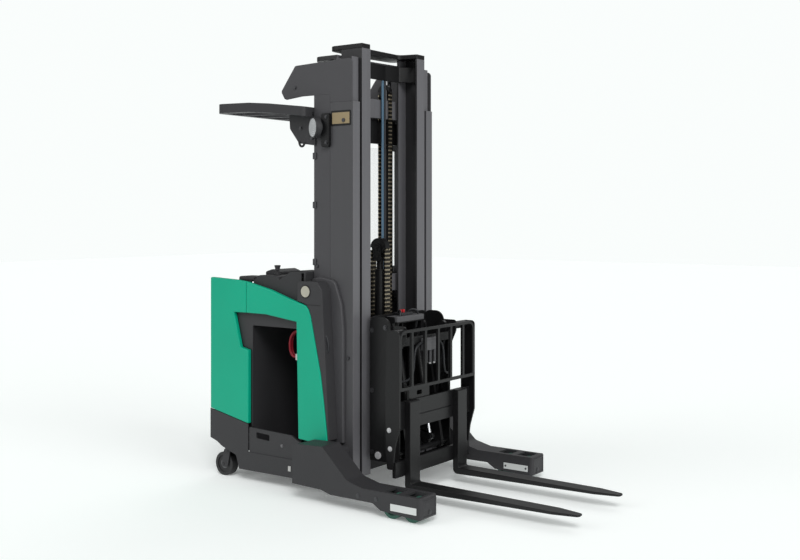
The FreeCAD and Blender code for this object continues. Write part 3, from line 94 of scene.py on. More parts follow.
class TruckSizes(bpy.types.PropertyGroup):
    """Sizes of the fine pieces"""

    edge: bpy.props.FloatProperty(name="Edge", description="Rounding of sheet and casting edges",
                                  default=0.0035, min=0.0005, max=0.01, unit="LENGTH")
    panel_edge: bpy.props.FloatProperty(name="Panel edge", description="Rounding of the moulded panels",
                                        default=0.006, min=0.001, max=0.02, unit="LENGTH")
    link_pitch: bpy.props.FloatProperty(name="Chain pitch", description="Distance between two chain pins",
                                        default=CHAIN_PITCH, min=0.01, max=0.04, unit="LENGTH")
    bolt: bpy.props.FloatProperty(name="Bolt head", description="Radius of a common bolt head",
                                  default=0.0095, min=0.004, max=0.02, unit="LENGTH")
    cable: bpy.props.FloatProperty(name="Cable", description="Radius of a battery cable",
                                   default=0.008, min=0.004, max=0.02, unit="LENGTH")


class TruckColours(bpy.types.PropertyGroup):
    """Colours of the paints"""

    panel: bpy.props.FloatVectorProperty(name="Panels", description="Paint of the side panels", size=3,
                                         default=(0.0, 0.35, 0.21), min=0, max=1, subtype="COLOR")
    body: bpy.props.FloatVectorProperty(name="Body", description="Paint of the frame and mast cladding",
                                        size=3, default=(0.034, 0.0335, 0.036), min=0, max=1,
                                        subtype="COLOR")
    rail: bpy.props.FloatVectorProperty(name="Rails", description="Paint of the mast rails", size=3,
                                        default=(0.085, 0.084, 0.09), min=0, max=1, subtype="COLOR")
    black: bpy.props.FloatVectorProperty(name="Black", description="Paint of the carriage and forks",
                                         size=3, default=(0.0075, 0.0075, 0.008), min=0, max=1,
                                         subtype="COLOR")
    backdrop: bpy.props.FloatVectorProperty(name="Backdrop", description="Floor and background", size=3,
                                            default=(0.955, 0.985, 0.975), min=0, max=1, subtype="COLOR")


class Value:
    """A number in a material that takes part in sums and products."""

    def __init__(self, nodes, socket):
        self.nodes = nodes
        self.socket = socket

    def worked(self, operation, other=0.0, turned=False):
        """Join this number with another one by a Math node."""
        first, second = (other, self) if turned else (self, other)
        step = self.nodes.step("ShaderNodeMath", {"operation": operation}, {0: first, 1: second})
        return Value(self.nodes, step.outputs[0])

    def __add__(self, other):
        return self.worked("ADD", other)

    def __radd__(self, other):
        return self.worked("ADD", other, True)

    def __sub__(self, other):
        return self.worked("SUBTRACT", other)

    def __rsub__(self, other):
        return self.worked("SUBTRACT", other, True)

    def __mul__(self, other):
        return self.worked("MULTIPLY", other)

    def __rmul__(self, other):
        return self.worked("MULTIPLY", other, True)

    def wave(self, pitch):
        """A wave from 0 to 1 whose crests are one pitch apart."""
        return (self * (math.tau / pitch)).worked("SINE") * 0.5 + 0.5

    def kept(self):
        """The number held between 0 and 1."""
        return self.worked("MAXIMUM", 0.0).worked("MINIMUM", 1.0)


class Nodes:
    """The nodes of a material or of the sky."""

    def __init__(self, tree):
        self.tree = tree

    def step(self, kind, settings=None, feeds=None):
        """Add a node, set its fields, then give its sockets their numbers or links."""
        node = self.tree.nodes.new(kind)
        for field, value in (settings or {}).items():
            setattr(node, field, value)
        for socket, source in (feeds or {}).items():
            self.feed(node.inputs[socket], source)
        return node

    def feed(self, socket, source):
        """Give a socket a number, a Value or a link."""
        if isinstance(source, Value):
            source = source.socket
        if isinstance(source, bpy.types.NodeSocket):
            self.tree.links.new(source, socket)
        else:
            socket.default_value = source

    def path(self, word):
        """Whether the ray is of a kind, such as Is Camera Ray."""
        return Value(self, self.step("ShaderNodeLightPath").outputs[word])


# words of this file and the shader's own names for them
SHADER_INPUTS = {"coat_weight": "Coat Weight", "coat_roughness": "Coat Roughness", "alpha": "Alpha",
                 "specular": "Specular IOR Level", "glow": "Emission Strength"}


class Paint(Nodes):
    """One material, made of a shader and the steps that feed it."""

    def __init__(self, name, colour, roughness, metallic=0.0, **shader):
        self.material = bpy.data.materials.new(name)
        self.material.use_nodes = True
        super().__init__(self.material.node_tree)
        self.shader = self.tree.nodes["Principled BSDF"]
        self.feed(self.shader.inputs["Base Color"], (*colour, 1))
        self.feed(self.shader.inputs["Roughness"], roughness)
        self.feed(self.shader.inputs["Metallic"], metallic)
        for word, amount in shader.items():
            self.feed(self.shader.inputs[SHADER_INPUTS[word]], amount)
        self.place = self.step("ShaderNodeTexCoord").outputs["Object"]

    def noise(self, scale, detail=2.0, stretch=(1, 1, 1)):
        """Soft noise of about 1/scale metres."""
        mapped = self.step("ShaderNodeMapping", feeds={"Vector": self.place, "Scale": stretch})
        cloud = self.step("ShaderNodeTexNoise", feeds={"Vector": mapped.outputs["Vector"], "Scale": scale,
                                                       "Detail": detail})
        return Value(self, cloud.outputs[0])

    def axis(self, letter, vector=None):
        """One coordinate of the surface, or of another vector."""
        split = self.step("ShaderNodeSeparateXYZ", feeds={0: vector or self.place})
        return Value(self, split.outputs[letter.upper()])

    def facing(self, letter):
        """How far the surface faces along an axis, from 0 to 1."""
        return self.axis(letter, self.step("ShaderNodeNewGeometry").outputs["Normal"]).kept()

    def blend(self, share, first, second):
        """Mix two colours by a share."""
        first, second = ((*tint, 1) if isinstance(tint, tuple) else tint for tint in (first, second))
        mix = self.step("ShaderNodeMix", {"data_type": "RGBA"}, {"Factor": share, 6: first, 7: second})
        return mix.outputs[2]

    def bumped(self, height, depth):
        """Give the shader a bump from a height between 0 and 1 and its depth in metres."""
        bump = self.step("ShaderNodeBump", feeds={"Strength": 1, "Distance": depth, "Height": height})
        self.feed(self.shader.inputs["Normal"], bump.outputs["Normal"])
        return self

    def coloured(self, source):
        """Feed the base colour."""
        self.feed(self.shader.inputs["Base Color"], source)
        return self

    def roughened(self, source):
        """Feed the roughness."""
        self.feed(self.shader.inputs["Roughness"], source)
        return self


def shade(colour, factor):
    """A colour made lighter or darker."""
    return tuple(min(1.0, part * factor) for part in colour)


def enamel(name, colour, roughness=0.34, skin_depth=0.00025):
    """Sprayed paint with a faint skin and uneven gloss."""
    paint = Paint(name, colour, roughness, coat_weight=0.06, coat_roughness=0.3, specular=0.25)
    skin = paint.noise(scale=260.0, detail=2.0)
    cloud = paint.noise(scale=2.2, detail=3.0)
    paint.coloured(paint.blend(cloud, shade(colour, 0.9), shade(colour, 1.1)))
    paint.roughened(roughness - 0.05 + 0.12 * cloud)
    return paint.bumped(skin, skin_depth)


def plastic(name, colour, roughness=0.55, grain=0.00035, scale=900.0):
    """Grained moulding."""
    paint = Paint(name, colour, roughness, specular=0.3)
    cloud = paint.noise(scale=3.0, detail=2.0)
    paint.coloured(paint.blend(cloud, shade(colour, 0.85), shade(colour, 1.15)))
    paint.roughened(roughness - 0.06 + 0.12 * cloud)
    return paint.bumped(paint.noise(scale, detail=1.0), grain)


def rail_paint(name, colour, sides=0.22):
    """Mast paint with painted light: lighter on the faces that point to the forks and darker, as painted
    shade, on the others; streaked along the rails.
    """
    paint = Paint(name, colour, roughness=0.36, specular=0.35)
    streaks = paint.noise(scale=30.0, detail=3.0, stretch=(1, 1, 0.02))
    # painted light and shade: faces towards the forks are painted 1.7 times lighter, the others darker by
    # the sides factor
    front = paint.facing("x")
    light = paint.blend(front, shade(colour, sides), shade(colour, 1.7))
    paint.coloured(paint.blend(streaks * 0.35, light, shade(colour, 0.5)))
    paint.roughened(0.26 + 0.22 * streaks)
    return paint.bumped(paint.noise(scale=420.0, detail=1.0), depth=0.00012)


def steel(name, colour, roughness=0.3, stretch=(1, 1, 1), metallic=1.0):
    """Bare or oiled metal with fine scratches."""
    paint = Paint(name, colour, roughness, metallic)
    scratch = paint.noise(scale=160.0, detail=4.0, stretch=stretch)
    paint.coloured(paint.blend(scratch, shade(colour, 0.75), shade(colour, 1.2)))
    paint.roughened(roughness - 0.08 + 0.2 * scratch)
    return paint.bumped(scratch, depth=0.00008)


def oiled_chain(name, plates, pins, pitch):
    """Dark oiled plates with a bright band at every pitch, partly the pins' bright ends and partly painted
    glints.
    """
    paint = Paint(name, plates, roughness=0.36, metallic=0.8)
    # painted glints: a bright band at every pitch, partly the pins' own bright ends
    spot = (paint.axis("z").wave(pitch) - 0.55).kept() * 2.2
    grime = paint.noise(scale=90.0, detail=3.0)
    paint.coloured(paint.blend((spot * (0.6 + 0.8 * grime)).kept(), plates, pins))
    return paint.roughened(0.3 + 0.2 * grime)


def cast_wheel(name, colour, roughness):
    """Cast rubber, urethane or metal with uneven wear."""
    paint = Paint(name, colour, roughness)
    wear = paint.noise(scale=45.0, detail=3.0)
    paint.coloured(paint.blend(wear, shade(colour, 0.7), shade(colour, 1.25)))
    paint.roughened(roughness - 0.1 + 0.25 * wear)
    return paint.bumped(paint.noise(scale=300.0, detail=2.0), depth=0.0003)


def ribbed_mat(name, colour):
    """Floor mat with ribs along the truck, with painted shade in the grooves and painted highlight on the
    ribs.
    """
    paint = Paint(name, colour, roughness=0.75)
    rib = paint.axis("y").wave(0.012)
    # painted shade and highlight: darker in the grooves and lighter on the crests of the ribs
    paint.coloured(paint.blend(rib, shade(colour, 0.6), shade(colour, 1.4)))
    return paint.bumped(rib, depth=0.002)


def wound_hose(name, colour):
    """Hose cover with a faint wrap along its run, with painted shade in the wrap's grooves and painted
    highlight on its ridges.
    """
    paint = Paint(name, colour, roughness=0.42)
    wrap = (paint.axis("z") + paint.axis("x") * 0.6).wave(0.006)
    # painted shade and highlight: darker in the wrap's grooves and lighter on its ridges
    paint.coloured(paint.blend(wrap, shade(colour, 0.85), shade(colour, 1.1)))
    return paint.bumped(wrap, depth=0.0003)


def clear_sheet(name):
    """Clear polycarbonate."""
    paint = Paint(name, (0.9, 0.93, 0.93), roughness=0.06, alpha=0.09)
    smear = paint.noise(scale=4.0, detail=3.0)
    paint.roughened(0.05 + 0.1 * smear)
    return paint


def lens(name):
    """Frosted lamp glass with rings, with painted shade in the rings' grooves and painted highlight on
    their ridges.
    """
    paint = Paint(name, (0.5, 0.51, 0.52), roughness=0.22, coat_weight=0.5)
    across = paint.axis("x") - (low("lamp_lens").x + high("lamp_lens").x) / 2
    up = paint.axis("z") - (low("lamp_lens").z + high("lamp_lens").z) / 2
    ring = (across * across + up * up).worked("SQRT").wave(0.012)
    # painted shade and highlight: darker in the rings' grooves and lighter on their ridges
    paint.coloured(paint.blend(ring, (0.4, 0.41, 0.42), (0.6, 0.61, 0.62)))
    return paint.bumped(ring, depth=0.0012)


def stitched_pad(name, colour):
    """Grained cover of the lean pad."""
    paint = Paint(name, colour, roughness=0.6)
    return paint.bumped(paint.noise(scale=420.0, detail=2.0), depth=0.0006).coloured(
        paint.blend(paint.noise(scale=9.0), shade(colour, 0.7), shade(colour, 1.4)))


def all_paints(colours):
    """Every material by the slot it belongs to, with a few more for small pieces."""
    body = tuple(colours.body)
    black = tuple(colours.black)
    rail = tuple(colours.rail)
    return {
        "panel_green": enamel("Panel enamel", tuple(colours.panel), roughness=0.3),
        "charcoal": plastic("Charcoal textured paint", body, roughness=0.5, grain=0.0003, scale=700.0),
        # painted light: the mast cladding is the body paint made 1.75 times lighter
        "cladding": enamel("Mast cladding enamel lightened as painted light", shade(body, 1.75), roughness=0.4),
        "mast_grey": rail_paint("Mast rail paint with painted light", rail),
        # the outer rails: the same rail paint with less painted shade on their sides
        "outer_rail": rail_paint("Rail paint with less painted side shade", rail, sides=0.75),
        "black_steel": enamel("Black chassis enamel", black, roughness=0.36),
        "dark_plastic": plastic("Grained console plastic", (0.028, 0.028, 0.03), roughness=0.5),
        "tyre_black": cast_wheel("Black tyre rubber", (0.016, 0.016, 0.017), roughness=0.6),
        # the tread's own green is darkened as painted shade, for the shadow under the legs
        "tread_green": cast_wheel("Green urethane tread", (0.025, 0.12, 0.085), roughness=0.4),
        "chrome_rod": steel("Chromed rod", (0.75, 0.76, 0.78), roughness=0.14, stretch=(1, 1, 0.1)),
        # the bright pin colour is partly the pins' own and partly painted glints
        "chain_gold": oiled_chain("Oiled chain steel", plates=(0.03, 0.027, 0.023), pins=(0.46, 0.4, 0.29),
                                  pitch=CHAIN_PITCH),
        "hose_blue": wound_hose("Blue hose", (0.07, 0.14, 0.21)),
        "hose_black": wound_hose("Black hose", (0.012, 0.013, 0.016)),
        "lamp_lens": lens("Lamp glass"),
        "lead_red": plastic("Red cable sheath", (0.2, 0.006, 0.014), roughness=0.4, grain=0.0001),
        "connector_grey": plastic("Grey connector", (0.5, 0.5, 0.48), roughness=0.5),
        "mat_rubber": ribbed_mat("Ribbed mat", (0.02, 0.02, 0.021)),
        "pad_black": stitched_pad("Pad cover", (0.018, 0.018, 0.019)),
        "screen_clear": clear_sheet("Clear screen"),
        "bright": steel("Bright zinc", (0.55, 0.55, 0.56), roughness=0.35, metallic=0.4),
        "dark_bolt": steel("Blackened bolt", (0.09, 0.09, 0.095), roughness=0.42),
        "white_plate": plastic("White plate", (0.62, 0.64, 0.63), roughness=0.35, grain=0.0001),
        "cream": plastic("Cream reflector", (0.4, 0.385, 0.32), roughness=0.3, grain=0.0001),
        "brass_plate": plastic("Yellow passivated plate", (0.27, 0.21, 0.12), roughness=0.45),
        "tie_grey": enamel("Grey tie paint", (0.1, 0.1, 0.105), roughness=0.4),
        "plug_red": plastic("Red plug", (0.4, 0.015, 0.02), roughness=0.4),
        "hub_grey": cast_wheel("Grey cast hub", (0.13, 0.13, 0.135), roughness=0.5),
    }


PAINTS = {}
BODY_OF = {node: body for body, nodes in frame["record"]["behaviour"]["bodies"].items() for node in nodes}
SLOT_OF = {part["node"]: part["material_slot"] for part in frame["record"]["subparts"]}

# nodes whose finish differs from the others of their slot, mostly by painted light:
# the mast cladding is the body paint painted lighter, and the rail looks paint their fronts lighter and
# their sides darker
LOOKS = {"towers": "cladding", "mast_shrouds": "cladding", "top_covers": "cladding",
         "outer_rails": "outer_rail", "middle_rails": "mast_grey", "middle_ties": "mast_grey"}

SEAT = 0.0005  # how deep a small piece sits in the face that carries it
MERGED = 0.00002  # corners nearer than this become one
FLAT_DEGREES = 1.5  # faces that turn less than this become one
SHARP_DEGREES = 30  # edges that turn more than this are rounded
CORNER_STEPS = 5  # straight pieces of a round corner in an outline


def deselected():
    """Leave edit mode and select nothing."""
    if bpy.context.mode != "OBJECT":
        bpy.ops.object.mode_set(mode="OBJECT")
    bpy.ops.object.select_all(action="DESELECT")


def picked(thing):
    """Select one object alone and make it the active one."""
    deselected()
    bpy.context.view_layer.objects.active = thing
    thing.select_set(True)


def settled(name):
    """Name the new object and move its place into its mesh."""
    thing = bpy.context.object
    thing.name = name
    thing.data.name = name
    bpy.ops.object.transform_apply(location=True, rotation=True, scale=True)
    return thing


def modified(thing, kind, **settings):
    """Add a modifier to an object and apply it."""
    step = thing.modifiers.new(kind.title(), kind)
    for field, value in settings.items():
        setattr(step, field, value)
    picked(thing)
    bpy.ops.object.modifier_apply(modifier=step.name)
    return thing


def rounded(thing, radius, segments=2):
    """Round an object's sharp edges."""
    return modified(thing, "BEVEL", width=radius, segments=segments, limit_method="ANGLE",
                    angle_limit=math.radians(SHARP_DEGREES))


def box(name, corner, opposite, edge=0.0):
    """A block between any two opposite corners, with rounded edges."""
    deselected()
    spans = [sorted(pair) for pair in zip(corner, opposite)]
    lowest = Vector([span[0] for span in spans])
    highest = Vector([span[1] for span in spans])
    bpy.ops.mesh.primitive_cube_add(size=1, location=(lowest + highest) / 2, scale=highest - lowest)
    thing = settled(name)
    return rounded(thing, edge) if edge else thing


def bar(name, start, end, radius, sides=20, edge=0.0, top=None):
    """A round bar, or a cone if its top radius differs, between two points."""
    deselected()
    start = Vector(start)
    line = Vector(end) - start
    turn = line.to_track_quat("Z", "Y").to_euler()
    bpy.ops.mesh.primitive_cone_add(vertices=sides, radius1=radius, radius2=radius if top is None else top,
                                    depth=line.length, location=start + line / 2, rotation=turn)
    thing = settled(name)
    return rounded(thing, edge) if edge else thing


def hoop(name, centre, axis, radius, thick, sides=48):
    """A ring about an axis."""
    deselected()
    turn = Vector(axis).to_track_quat("Z", "Y").to_euler()
    bpy.ops.mesh.primitive_torus_add(major_radius=radius, minor_radius=thick, major_segments=sides,
                                     minor_segments=10, location=centre, rotation=turn)
    return settled(name)


def raised(spot, height):
    """A spot moved up by a height."""
    return Vector(spot) + Vector((0, 0, height))


def along(centre, axis, start, end):
    """Two spots on a line through a centre, at distances along its axis."""
    centre = Vector(centre)
    axis = Vector(axis).normalized()
    return centre + axis * start, centre + axis * end


def oblong(corner, opposite, radius):
    """Outline of a rectangle with round corners."""
    (left, bottom), (right, top) = corner, opposite
    return [(left, bottom, radius), (left, top, radius), (right, top, radius), (right, bottom, radius)]


def softened(outline):
    """An outline of (across, up, corner radius) with its corners as arcs."""
    spots = []
    count = len(outline)
    for i, (across, up, *radius) in enumerate(outline):
        here = Vector((across, up))
        if not radius:
            spots.append(here)
            continue
        before = (Vector(outline[i - 1][:2]) - here).normalized()
        after = (Vector(outline[(i + 1) % count][:2]) - here).normalized()
        half = before.angle(after) / 2
        centre = here + (before + after).normalized() * radius[0] / math.sin(half)
        enter = here + before * radius[0] / math.tan(half) - centre
        leave = here + after * radius[0] / math.tan(half) - centre
        sweep = enter.angle_signed(leave)
        for k in range(CORNER_STEPS + 1):
            turned = enter.copy()
            turned.rotate(Matrix.Rotation(-sweep * k / CORNER_STEPS, 2))
            spots.append(centre + turned)
    return spots


def plate(name, outline, axis, start, end, edge=0.0):
    """A flat outline extruded along an axis, with rounded edges."""
    deselected()
    spots = softened(outline)
    bpy.ops.mesh.primitive_circle_add(vertices=len(spots), radius=1, fill_type="NGON")
    thing = bpy.context.object
    for vertex, spot in zip(thing.data.vertices, spots):
        vertex.co = {"x": (start, spot.x, spot.y), "y": (spot.x, start, spot.y),
                     "z": (spot.x, spot.y, start)}[axis]
    bpy.ops.object.mode_set(mode="EDIT")
    bpy.ops.mesh.select_all(action="SELECT")
    push = {"x": (end - start, 0, 0), "y": (0, end - start, 0), "z": (0, 0, end - start)}[axis]
    bpy.ops.mesh.extrude_region_move(TRANSFORM_OT_translate={"value": push})
    bpy.ops.mesh.select_all(action="SELECT")
    bpy.ops.mesh.normals_make_consistent(inside=False)
    bpy.ops.object.mode_set(mode="OBJECT")
    thing = settled(name)
    return rounded(thing, edge) if edge else thing


def tube(name, points, radius):
    """A round cable or hose through points."""
    deselected()
    bpy.ops.curve.primitive_nurbs_path_add(location=(0, 0, 0))
    thing = bpy.context.object
    curve = thing.data
    curve.splines.clear()
    line = curve.splines.new("NURBS")
    line.points.add(len(points) - 1)
    for knot, point in zip(line.points, points):
        knot.co = (*point, 1)
    line.use_endpoint_u = True
    line.order_u = 4
    line.resolution_u = 10
    curve.bevel_depth = radius
    curve.bevel_resolution = 3
    curve.use_fill_caps = True
    bpy.ops.object.convert(target="MESH")
    return settled(name)


def joined(name, things):
    """Make several meshes one."""
    if len(things) == 1:
        things[0].name = name
        return things[0]
    deselected()
    for thing in things:
        thing.select_set(True)
    bpy.context.view_layer.objects.active = things[0]
    bpy.ops.object.join()
    whole = bpy.context.object
    whole.name = name
    whole.data.name = name
    return whole


def copied(name, node):
    """A merged copy of a CAD node, ready for rounding."""
    thing = frame["nodes"][node].copy()
    thing.data = frame["nodes"][node].data.copy()
    for key in list(thing.keys()):
        del thing[key]
    thing.parent = None
    thing.name = name
    thing.data.name = name
    bpy.context.scene.collection.objects.link(thing)
    picked(thing)
    bpy.ops.object.mode_set(mode="EDIT")
    bpy.ops.mesh.select_all(action="SELECT")
    bpy.ops.mesh.remove_doubles(threshold=MERGED)
    bpy.ops.mesh.dissolve_limited(angle_limit=math.radians(FLAT_DEGREES))
    bpy.ops.object.mode_set(mode="OBJECT")
    return thing


def painted(thing, look):
    """Give an object one finish."""
    thing.data.materials.clear()
    thing.data.materials.append(PAINTS[look].material)


def smoothed(thing, angle):
    """Shade an object smooth where its faces turn by less than an angle."""
    picked(thing)
    bpy.ops.object.shade_smooth_by_angle(angle=math.radians(angle))


def done(thing, body, slot, look=None, covers=(), angle=35):
    """Smooth a finished piece, paint it and let it ride on a body."""
    smoothed(thing, angle)
    modified(thing, "WEIGHTED_NORMAL", keep_sharp=True, weight=80)
    painted(thing, look or slot)
    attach(thing, body)
    if covers:
        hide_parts(*covers)
    return thing


def hexagon(name, spot, axis, radius, height):
    """A bolt head with its washer, standing on a face."""
    washer = bar(name + "_washer", *along(spot, axis, -SEAT, height * 0.25), radius * 1.35)
    head = bar(name + "_head", *along(spot, axis, height * 0.2, height), radius, sides=6, edge=radius * 0.1)
    return joined(name, [washer, head])


def bolts(name, spots, axis, radius, body, slot="black_steel", look="dark_bolt", height=None):
    """A set of bolt heads on one face."""
    heads = [hexagon("%s_%d" % (name, k), spot, axis, radius, height or radius * 0.75)
             for k, spot in enumerate(spots)]
    return done(joined(name, heads), body, slot, look)


def paint_frame(context):
    """Give every CAD node its finish."""
    PAINTS.update(all_paints(context.scene.truck_colours))
    for node, thing in frame["nodes"].items():
        painted(thing, LOOKS.get(node, SLOT_OF[node]))


# how far the legs' outer faces and tips lie back, so that their plates and bolts stay in the truck's width
LEG_RECESS = 0.004

# the rounding of each node's edges, as a share of the common edge
SHELLS = {"leg_right": 1.5, "leg_left": 1.5, "front_panels": 1.6, "mast_shrouds": 1.8, "dash": 1,
          "drive_cover": 1, "overhead_guard": 1.6, "top_covers": 0.5, "fork_right": 1, "fork_left": 1,
          "load_backrest": 0.8, "side_plates": 0.8, "fork_bars": 0.6, "outer_rails": 0.7,
          "inner_rails": 0.7, "middle_rails": 0.5, "inner_ties": 0.7, "middle_ties": 0.7,
          "battery_gates": 0.8, "lean_pad": 3}


def round_shells(context):
    """Rounded copies of the plates, castings and mouldings, each in place of its node."""
    sizes = context.scene.truck_sizes
    near = 0.0001  # a corner nearer than this lies on the leg's outer face or its tip
    radii = {"quarter_panels": sizes.panel_edge, "battery_covers": sizes.panel_edge}
    radii.update({node: sizes.edge * share for node, share in SHELLS.items()})
    for node, radius in radii.items():
        shell = copied("rounded_" + node, node)
        if node.startswith("leg_"):
            for vertex in shell.data.vertices:
                if abs(vertex.co.y) > abs(low("leg_right").y) - near:
                    vertex.co.y -= math.copysign(LEG_RECESS, vertex.co.y)
                if vertex.co.x > high(node).x - near:
                    vertex.co.x -= LEG_RECESS
        rounded(shell, radius, segments=3)
        done(shell, BODY_OF[node], SLOT_OF[node], LOOKS.get(node), (node,))


def chain_link(name, pitch, wide, thick):
    """One pitch of leaf chain along Z at the origin, with its plates and pin."""
    plates = []
    leaf = wide / 7  # room for four plates and the gaps between them
    half = thick / 2 - 0.001
    waist = half * 0.7
    tip = half * 0.6
    for k in range(4):
        start = -wide / 2 + leaf * (2 * k) * 0.98
        foot = 0.0 if k % 2 == 0 else pitch / 2
        outline = [(-half, foot - tip), (-waist, foot + pitch / 2), (-half, foot + pitch + tip),
                   (half, foot + pitch + tip), (waist, foot + pitch / 2), (half, foot - tip)]
        plates.append(plate("%s_leaf_%d" % (name, k), outline, "y", start, start + leaf * 1.7))
    reach = wide / 2 + 0.001
    pin = bar(name + "_pin", (0, -reach, 0), (0, reach, 0), thick * 0.26, sides=8)
    return joined(name, plates + [pin])


def chain_run(name, spot, bottom, top, wide, thick, pitch):
    """A straight run of leaf chain between two heights."""
    count = max(1, int((top - bottom - pitch) / pitch))
    spacing = (top - bottom - thick) / (count + 0.5)
    run = modified(chain_link(name, spacing, wide, thick), "ARRAY", count=count, use_relative_offset=False,
                   use_constant_offset=True, constant_offset_displace=(0, 0, spacing))
    for vertex in run.data.vertices:
        vertex.co += Vector((*spot, bottom + thick / 2))
    return run


# each chain, how its run follows the mast, the joint that moves it, and what holds its lower and upper end
CHAINS = (("lift_chain_fronts", "squash", "mast_lift", ("chassis", "middle_mast")),
          ("lift_chain_rears", "blend", "mast_lift", ("chassis", "middle_mast")),
          ("free_chain_front", "squash", "free_lift_rod", ("inner_mast", "free_lift_head")),
          ("free_chain_rear", "blend", "free_lift_rod", ("inner_mast", "free_lift_head")))
LIFT_CHAIN_Y = 0.18
LIFT_CHAIN_WIDE = 0.026


def make_chains(context):
    """Leaf chains in place of the plain bands."""
    pitch = context.scene.truck_sizes.link_pitch
    for node, way, joint, bodies in CHAINS:
        bottom = low(node)
        top = high(node)
        middle = (bottom.x + top.x) / 2
        thick = top.x - bottom.x
        if node.startswith("lift"):
            runs = [chain_run("%s_%s" % (node, word), (middle, side * LIFT_CHAIN_Y), bottom.z, top.z,
                              LIFT_CHAIN_WIDE, thick, pitch) for word, side in SIDES]
        else:
            runs = [chain_run("leaf_" + node, (middle, 0), bottom.z, top.z, top.y - bottom.y, thick, pitch)]
        run = joined("leaf_" + node, runs)
        stretch_chain(run, node, way)


def stretch_chain(run, node, way):
    """Smooth and paint a run of chain and hide its band; a run to squash also gets weighted normals and
    rides on its band's body, the other is baked in place.
    """
    crease = 25
    if way == "squash":
        done(run, BODY_OF[node], "chain_gold", None, (node,), crease)
        # the run's lower end stays a hair above its anchor when the stage is up
        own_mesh(run)
        return
    smoothed(run, crease)
    painted(run, "chain_gold")
    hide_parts(node)
    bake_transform(run)


# bolts on each side of the mast, as X and Z
TOWER_BOLTS = ((-0.621, 2.457), (-0.2, 0.818), (-0.44, 1.36))
BRACKET_BOLTS = ((-0.566, 2.205), (-0.545, 2.285), (-0.475, 2.14), (-0.475, 2.29))
BRACKET_THICK = 0.01


def side_bolts(name, places, face, side, radius, body, slot="black_steel", look="dark_bolt", height=None):
    """Bolt heads that point outwards on one side, at places given as X and Z."""
    bolts(name, [(x, face, z) for x, z in places], (0, side, 0), radius, body, slot, look, height)


def make_mast_details(context):
    """Clips, keeper plate and bolts on the sides of the mast."""
    radius = context.scene.truck_sizes.bolt
    wall = low("towers").y
    rear = low("towers").x
    clip_half = 0.02
    clips = [box("clip_%d" % k, (rear - 0.006, wall - 0.008, height - clip_half),
                 (rear + 0.022, wall + SEAT, height + clip_half), edge=0.003)
             for k, height in enumerate((1.385, 1.732, 2.031))]
    done(joined("tower_clips", clips), "chassis", "black_steel", "dark_bolt")
    left, foot, right, head = -0.322, 2.218, -0.19, 2.286
    margin = 0.012
    keeper = box("keeper", (left, wall - 0.004, foot), (right, wall + SEAT, head), edge=0.0015)
    done(keeper, "chassis", "chain_gold", "brass_plate")
    border = oblong((left - margin, foot - margin), (right + margin, head + margin), 0.01)
    recess = plate("keeper_frame", border, "y", wall - 0.0018, wall + 0.0004, edge=0.0006)
    done(recess, "chassis", "black_steel")
    # painted shade: a dark disc stands where the keeper plate has a hole, for the shade inside it
    eye_ends = along((-0.233, wall, 2.238), (0, -1, 0), 0.009, 0.003)
    eye = bar("keeper_eye", *eye_ends, 0.012, sides=24, edge=0.0015)
    done(eye, "chassis", "black_steel", "dark_bolt")
    for word, side in SIDES:
        face = side * abs(wall)
        side_bolts("tower_bolts_" + word, TOWER_BOLTS, face, side, radius, "chassis")
        side_bolts("bracket_bolts_" + word, BRACKET_BOLTS, face + side * BRACKET_THICK, side, radius * 1.1,
                   "chassis")


def make_mast_hoses(context):
    """A blue and a black hose up the inner stage."""
    bottom = low("hoses")
    top = high("hoses")
    radius = (top.x - bottom.x) / 2
    middle = (bottom.x + top.x) / 2
    for name, across in (("hose_blue", bottom.y + radius), ("hose_black", top.y - radius)):
        hose = bar(name, (middle, across, bottom.z), (middle, across, top.z), radius)
        done(hose, BODY_OF["hoses"], "hose_blue", name, ("hoses",) if name == "hose_blue" else ())


HOOK_PATH = ((-0.575, 2.122), (-0.571, 2.098), (-0.553, 2.086), (-0.535, 2.098), (-0.531, 2.114))
HOOK_Y = -0.431


def make_guard_details(context):
    """Hook below the overhead guard."""
    hook = tube("guard_hook", [(x, HOOK_Y, z) for x, z in HOOK_PATH], 0.007)
    done(hook, "chassis", "black_steel")


LAMP_TURN = math.radians(27)


def make_lamp(context):
    """Work lamp turned a little rearwards, with its rim, lens and holder."""
    centre = (low("lamp_housing") + high("lamp_housing")) / 2
    out = Vector((-math.sin(LAMP_TURN), -math.cos(LAMP_TURN), 0))
    radius = (high("lamp_housing").z - low("lamp_housing").z) / 2
    rim_thick = 0.005
    shell = bar("lamp_bowl", *along(centre, out, -0.008, 0.026), radius, sides=40, edge=0.006)
    neck = bar("lamp_neck", *along(centre, out, -0.02, 0), radius * 0.7, sides=32, edge=0.004)
    rim = hoop("lamp_rim", centre + out * 0.026, out, radius - rim_thick, rim_thick)
    done(joined("lamp_body", [shell, neck, rim]), "chassis", SLOT_OF["lamp_housing"], "dark_plastic",
         ("lamp_housing",))
    glass = bar("lamp_glass", *along(centre, out, 0.022, 0.031), radius - 0.007, sides=40, edge=0.003)
    done(glass, "chassis", "lamp_lens", None, ("lamp_lens",))
    wall = low("towers").y
    front = wall - 0.024
    outline = oblong((-0.393, 2.082), (-0.332, 2.286), 0.012)
    done(plate("lamp_holder", outline, "y", front, wall + SEAT, edge=0.004), "chassis", "black_steel")
    side_bolts("lamp_bolts", ((-0.352, 2.108), (-0.352, 2.262)), front, -1, 0.009, "chassis")


DASH_TOP = 1.296
LEVER_FOOT = (-0.755, -0.43, DASH_TOP)
STEER_HUB = (-0.77, 0.25, DASH_TOP)
STEER_KNOB = (-0.855, 0.25, DASH_TOP)
# outline of the control pod as X, Z and corner radius
CONTROL_POD = [(-0.885, DASH_TOP - 0.004), (-0.885, DASH_TOP + 0.018, 0.012),
               (-0.83, DASH_TOP + 0.034, 0.02), (-0.78, DASH_TOP + 0.02, 0.02),
               (-0.775, DASH_TOP - 0.004)]


